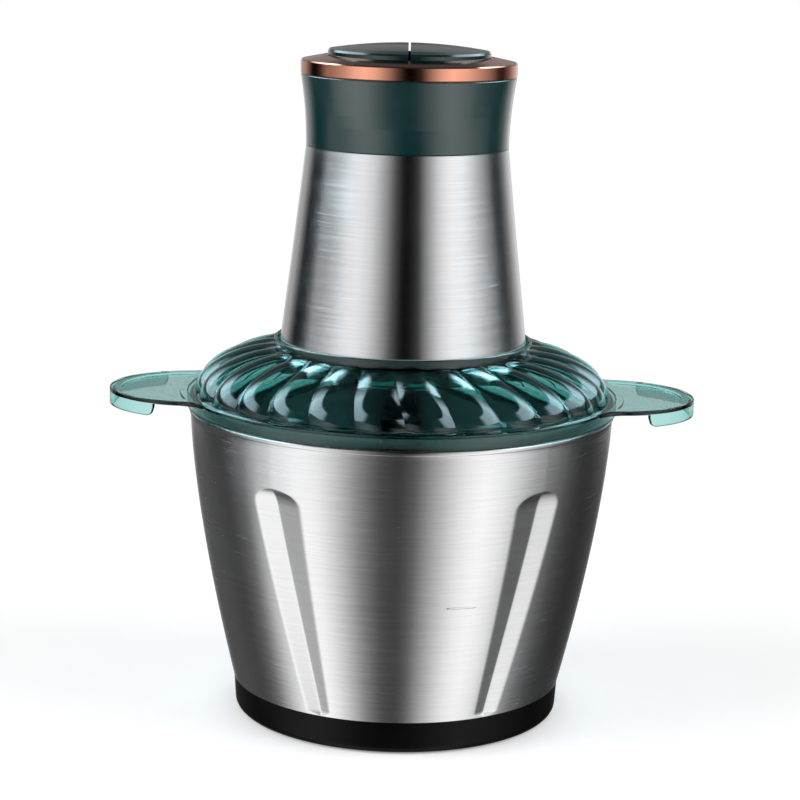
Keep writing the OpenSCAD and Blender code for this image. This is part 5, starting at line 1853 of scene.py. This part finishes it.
@dataclass(frozen=True)
class Viewpoint:
    """The camera's place and lens.

    Attributes:
        away: How far it stands in front of the object's axis.
        height: How high it stands.
        aim: The height on the axis that it looks at.
        focal_px: The lens's length in the photograph's pixels.
        frame_px: The frame's side in pixels.
        lean: How far the camera is rolled, in degrees.
        shift_px: How far the frame is shifted sideways, in pixels.
        sensor: The sensor's width.
        nearest: The nearest that it sees, in metres.
        farthest: The farthest, in metres.
    """

    away: float = 1087.0
    height: float = 362.0
    aim: float = 142.0
    focal_px: float = 2459.0
    frame_px: float = 800.0
    lean: float = 1.3
    shift_px: float = 1.7
    sensor: float = 36.0
    nearest: float = 0.05
    farthest: float = 60.0

    @property
    def lens(self) -> float:
        """Gives the lens's length."""
        return self.focal_px * self.sensor / self.frame_px

    def make(self) -> bpy.types.Object:
        """Makes the camera.

        Returns:
            The camera object.
        """
        data = bpy.data.cameras.new("camera")
        data.sensor_width = self.sensor
        data.sensor_fit = "HORIZONTAL"
        data.lens = self.lens
        data.shift_x = -self.shift_px / self.frame_px
        data.clip_start, data.clip_end = self.nearest, self.farthest
        data.dof.use_dof = False
        camera = bpy.data.objects.new("camera", data)
        bpy.context.scene.collection.objects.link(camera)
        place = Vector((0, -self.away, self.height)) * MM
        look = Vector((0, 0, self.aim)) * MM - place
        turn = look.to_track_quat("-Z", "Y").to_matrix().to_4x4()
        roll = Matrix.Rotation(math.radians(self.lean), 4, "Z")
        camera.matrix_world = Matrix.Translation(place) @ turn @ roll
        bpy.context.scene.camera = camera
        return camera


@dataclass(frozen=True)
class Softbox:
    """A square lamp that points at the object.

    Attributes:
        name: The lamp's name.
        place: Where it stands.
        size: Its side.
        power: Its power in watts.
        aim: The height on the object's axis that it points at.
    """

    name: str
    place: Spot
    size: float
    power: float
    aim: float = 150.0

    def make(self) -> bpy.types.Object:
        """Makes the lamp, which isn't mirrored or seen itself.

        Returns:
            The lamp.
        """
        data = bpy.data.lights.new(self.name, "AREA")
        data.shape = "SQUARE"
        data.size = self.size * MM
        data.energy = self.power
        lamp = bpy.data.objects.new(self.name, data)
        bpy.context.scene.collection.objects.link(lamp)
        lamp.location = Vector(self.place) * MM
        look = Vector((0, 0, self.aim * MM)) - lamp.location
        lamp.rotation_euler = look.to_track_quat("-Z", "Y").to_euler()
        lamp.visible_glossy = False
        lamp.visible_camera = False
        lamp.visible_transmission = False
        return lamp


@dataclass
class Studio:
    """Floor, lamps, the surroundings that metal mirrors, and the camera.

    Attributes:
        level: The even light from all round.
        pure: The strength of pure white.
        view: The camera.
        lamps: The softboxes that light the object.
        upper: Direction in degrees, from behind the camera round, and brightness of what is mirrored at eye level.
        lower: The same below eye level.
        middle: The same a little above it.
        high: The same above that.
        low_edge: Where lower passes into upper, as the height of a direction.
        middle_edge: Where upper passes into middle.
        high_edge: Where middle passes into high.
        crown_edge: Where high passes into the ceiling.
        high_colour: The colour of the high softboxes.
        ceiling: The colour of the ceiling.
        brightest: The brightness of a stop that is white.
        inside: The share of the mirrored surroundings that shows inside clear plastic.
        walls: The number of clear walls at which white starts and ends to dim.
        walls_white: The white that is left behind them.
        floor_size: How far the floor reaches.
        floor_gap: How far it lies under the object.
        floor_grey: Its colour.
        floor_glow: How much it shines by itself for the camera, so that it is nearly white.
        floor_white: The distances in metres between which it turns plain white.
    """

    level: float = 0.45
    pure: float = 1.0
    view: Viewpoint = field(default_factory=Viewpoint)
    lamps: tuple[Softbox, ...] = (
        Softbox("left_softbox", (-1400, -500, 900), 1200, 17.0),
        Softbox("right_softbox", (1400, -450, 900), 1200, 15.0))
    upper: tuple[Flat, ...] = (
        (-180, 0.1), (-168, 0.74), (-156, 0.48), (-143, 0.44), (-134, 0.2), (-125, 0.012),
        (-116, 0.004), (-107, 0.06), (-97, 0.36), (-84, 0.44), (-72, 0.64), (-60, 1.02), (-48, 1.2), (-36, 1.0),
        (-24, 0.54), (-12, 0.11), (-4, 0.0), (6, 0.0), (14, 0.045), (24, 0.44), (36, 1.0), (48, 1.3), (62, 1.14),
        (74, 0.84), (86, 0.53), (98, 0.27), (109, 0.05), (119, 0.03), (131, 0.18), (144, 0.5), (163, 0.82))
    lower: tuple[Flat, ...] = (
        (-180, 0.45), (-169, 0.32), (-158, 0.09), (-132, 0.09), (-112, 0.06), (-97, 0.16), (-85, 0.74),
        (-73, 1.14), (-60, 1.4), (-48, 1.27), (-36, 0.76), (-24, 0.29), (-12, 0.09), (0, 0.06), (9, 0.14),
        (24, 0.66), (36, 1.16), (48, 1.42), (60, 1.2), (72, 0.78), (84, 0.38), (96, 0.19), (108, 0.08),
        (120, 0.045), (134, 0.035), (146, 0.045), (158, 0.06), (169, 0.25))
    middle: tuple[Flat, ...] = (
        (-180, 0.26), (-150, 0.3), (-130, 0.08), (-107, 0.06), (-84, 0.44), (-60, 1.02), (-48, 1.2), (-36, 1.0),
        (-24, 0.54), (-12, 0.11), (0, 0.0), (14, 0.045), (24, 0.44), (36, 1.0), (48, 1.3), (62, 1.14),
        (86, 0.5), (109, 0.05), (130, 0.08), (150, 0.3))
    high: tuple[Flat, ...] = (
        (-180, 0.02), (-150, 0.05), (-138, 0.9), (-132, 1.5), (-70, 1.5), (-62, 0.7), (-54, 0.04), (-20, 0.0),
        (24, 0.0), (52, 0.04), (60, 0.7), (68, 1.4), (130, 1.4), (137, 0.8), (148, 0.05))
    low_edge: Flat = (-0.235, -0.18)
    middle_edge: Flat = (0.1, 0.17)
    high_edge: Flat = (0.29, 0.35)
    crown_edge: Flat = (0.72, 0.78)
    high_colour: Colour = (2.8, 3.7, 4.2)
    ceiling: Colour = (0.02, 0.025, 0.03)
    brightest: float = 1.5
    inside: float = 0.2
    walls: Flat = (2.0, 4.0)
    walls_white: float = 0.3
    floor_size: float = 6000.0
    floor_gap: float = 0.2
    floor_grey: Colour = (0.93, 0.93, 0.93)
    floor_glow: float = 0.26
    floor_white: Flat = (0.25, 0.75)

    def strip(self, graph: Graph, turn: bpy.types.NodeSocket, stops: Sequence[Flat]) -> bpy.types.NodeSocket:
        """Gives the brightness of the softboxes and flags round the object.

        Args:
            graph: The world's graph.
            turn: The direction from 0 to 1.
            stops: Direction in degrees and brightness of each stop.

        Returns:
            The brightness as a colour.
        """
        node = graph.add("ShaderNodeValToRGB")
        node.color_ramp.interpolation = "LINEAR"
        elements = node.color_ramp.elements
        wrapped = list(stops) + [(180.0, stops[0][1])]
        for index, (angle, bright) in enumerate(wrapped):
            place = (angle + 180.0) / 360.0
            element = elements[index] if index < 2 else elements.new(place)
            element.position = place
            shade = bright / self.brightest
            element.color = (shade, shade, shade, 1.0)
        graph.join(turn, node.inputs[0])
        return node.outputs[0]

    def seen_through(self, graph: Graph, path: bpy.types.Node) -> bpy.types.NodeSocket:
        """Gives how much of the white ground shows through clear plastic, less behind more walls.

        Args:
            graph: The graph of the floor or the world.
            path: Its light path node.

        Returns:
            The share, which is 0 for every other ray.
        """
        white = graph.ramp(path.outputs["Transmission Depth"], *self.walls, 1.0, self.walls_white, smooth=False)
        return graph.maths("MULTIPLY", path.outputs["Is Transmission Ray"], white)

    @staticmethod
    def mirror_only(graph: Graph, path: bpy.types.Node) -> bpy.types.NodeSocket:
        """Gives 1 for a ray that was mirrored and 0 for one that came through something clear.

        Args:
            graph: The graph of the floor or the world.
            path: Its light path node.

        Returns:
            The mask.
        """
        return graph.maths("SUBTRACT", path.outputs["Is Glossy Ray"], path.outputs["Is Transmission Ray"], clamp=True)

    def mirrored(self, graph: Graph) -> bpy.types.NodeSocket:
        """Gives the colour of the surroundings in each direction.

        Args:
            graph: The world's graph.

        Returns:
            The colour.
        """
        x, y, z = graph.split(graph.add("ShaderNodeTexCoord").outputs["Generated"])
        around = graph.maths("ARCTAN2", x, graph.maths("MULTIPLY", y, -1.0))
        turn = graph.maths("ADD", graph.maths("DIVIDE", around, math.tau), 0.5)
        walls = graph.mix(graph.ramp(z, *self.low_edge),
                          self.strip(graph, turn, self.lower), self.strip(graph, turn, self.upper))
        sides = graph.mix(graph.ramp(z, *self.middle_edge), walls, self.strip(graph, turn, self.middle))
        boxes = graph.mix(self.strip(graph, turn, self.high), (0.0, 0.0, 0.0), self.high_colour)
        crown = graph.mix(graph.ramp(z, *self.crown_edge), boxes, self.ceiling)
        return graph.mix(graph.ramp(z, *self.high_edge), sides, crown)

    def surroundings(self) -> None:
        """Makes the world: white behind the object, even light, and softboxes for what is mirrored."""
        world = bpy.data.worlds.new("studio")
        bpy.context.scene.world = world
        graph = Graph.fresh(world)
        leave = graph.add("ShaderNodeOutputWorld")
        path = graph.add("ShaderNodeLightPath")
        plain = graph.add("ShaderNodeBackground")
        plain.inputs["Color"].default_value = (1.0, 1.0, 1.0, 1.0)
        turned = graph.maths("ADD", path.outputs["Glossy Depth"], path.outputs["Diffuse Depth"])
        direct = graph.maths("SUBTRACT", 1.0, turned, clamp=True)
        shown = graph.maths("MAXIMUM", path.outputs["Is Camera Ray"],
                            graph.maths("MULTIPLY", self.seen_through(graph, path), direct))
        graph.join(graph.ramp(shown, 0.0, 1.0, self.level, self.pure, smooth=False), plain.inputs["Strength"])
        gloss = graph.add("ShaderNodeBackground")
        graph.join(self.mirrored(graph), gloss.inputs["Color"])
        inside = graph.maths("MULTIPLY", path.outputs["Is Transmission Ray"],
                             graph.maths("MINIMUM", path.outputs["Glossy Depth"], 1.0))
        graph.join(graph.ramp(inside, 0.0, 1.0, self.brightest, self.brightest * self.inside, smooth=False),
                   gloss.inputs["Strength"])
        chosen = graph.maths("MAXIMUM", self.mirror_only(graph, path), inside)
        graph.join(graph.blend(chosen, plain.outputs[0], gloss.outputs[0]), leave.inputs["Surface"])

    def floor(self) -> bpy.types.Object:
        """Makes the pale floor, which keeps the shadow and lets mirrored rays through.

        Returns:
            The floor.
        """
        size = self.floor_size
        made = Cover([(-size, -size, 0), (size, -size, 0), (size, size, 0), (-size, size, 0)],
                     [[0, 1, 2, 3]]).object("floor")
        made.location.z = -self.floor_gap * MM
        material = bpy.data.materials.new("pale_floor")
        graph = Graph.fresh(material)
        leave = graph.add("ShaderNodeOutputMaterial")
        matte = graph.add("ShaderNodeBsdfDiffuse")
        matte.inputs["Color"].default_value = (*self.floor_grey, 1.0)
        glow = graph.add("ShaderNodeEmission")
        path = graph.add("ShaderNodeLightPath")
        seen = graph.maths("MAXIMUM", path.outputs["Is Camera Ray"], self.seen_through(graph, path))
        graph.join(graph.maths("MULTIPLY", seen, self.floor_glow), glow.inputs["Strength"])
        lit = graph.add("ShaderNodeAddShader")
        graph.join(matte.outputs[0], lit.inputs[0])
        graph.join(glow.outputs[0], lit.inputs[1])
        away = graph.add("ShaderNodeVectorMath", operation="LENGTH")
        graph.join(graph.add("ShaderNodeTexCoord").outputs["Object"], away.inputs[0])
        far = graph.ramp(away.outputs["Value"], *self.floor_white)
        white = graph.add("ShaderNodeEmission")
        both = graph.blend(graph.maths("MULTIPLY", far, seen), lit.outputs[0], white.outputs[0])
        clear = graph.add("ShaderNodeBsdfTransparent")
        graph.join(graph.blend(self.mirror_only(graph, path), both, clear.outputs[0]), leave.inputs["Surface"])
        made.data.materials.append(material)
        return made

    def build(self) -> None:
        """Sets up the whole studio."""
        bpy.context.scene.view_settings.view_transform = "Standard"
        self.surroundings()
        self.floor()
        for lamp in self.lamps:
            lamp.make()
        self.view.make()
        LOG.info("studio: camera at %.0f mm, lens %.1f mm", self.view.away, self.view.lens)


def main() -> None:
    """Builds and dresses every group, and then the studio."""
    logging.basicConfig(level=logging.INFO, format="%(name)s: %(message)s")
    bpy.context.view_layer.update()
    for group in (Bowl(), Lid(), MotorHead(), Motor(), GearTrain(), BladeStack()):
        group.report()
    Studio().build()


if __name__ == "__main__":
    main()
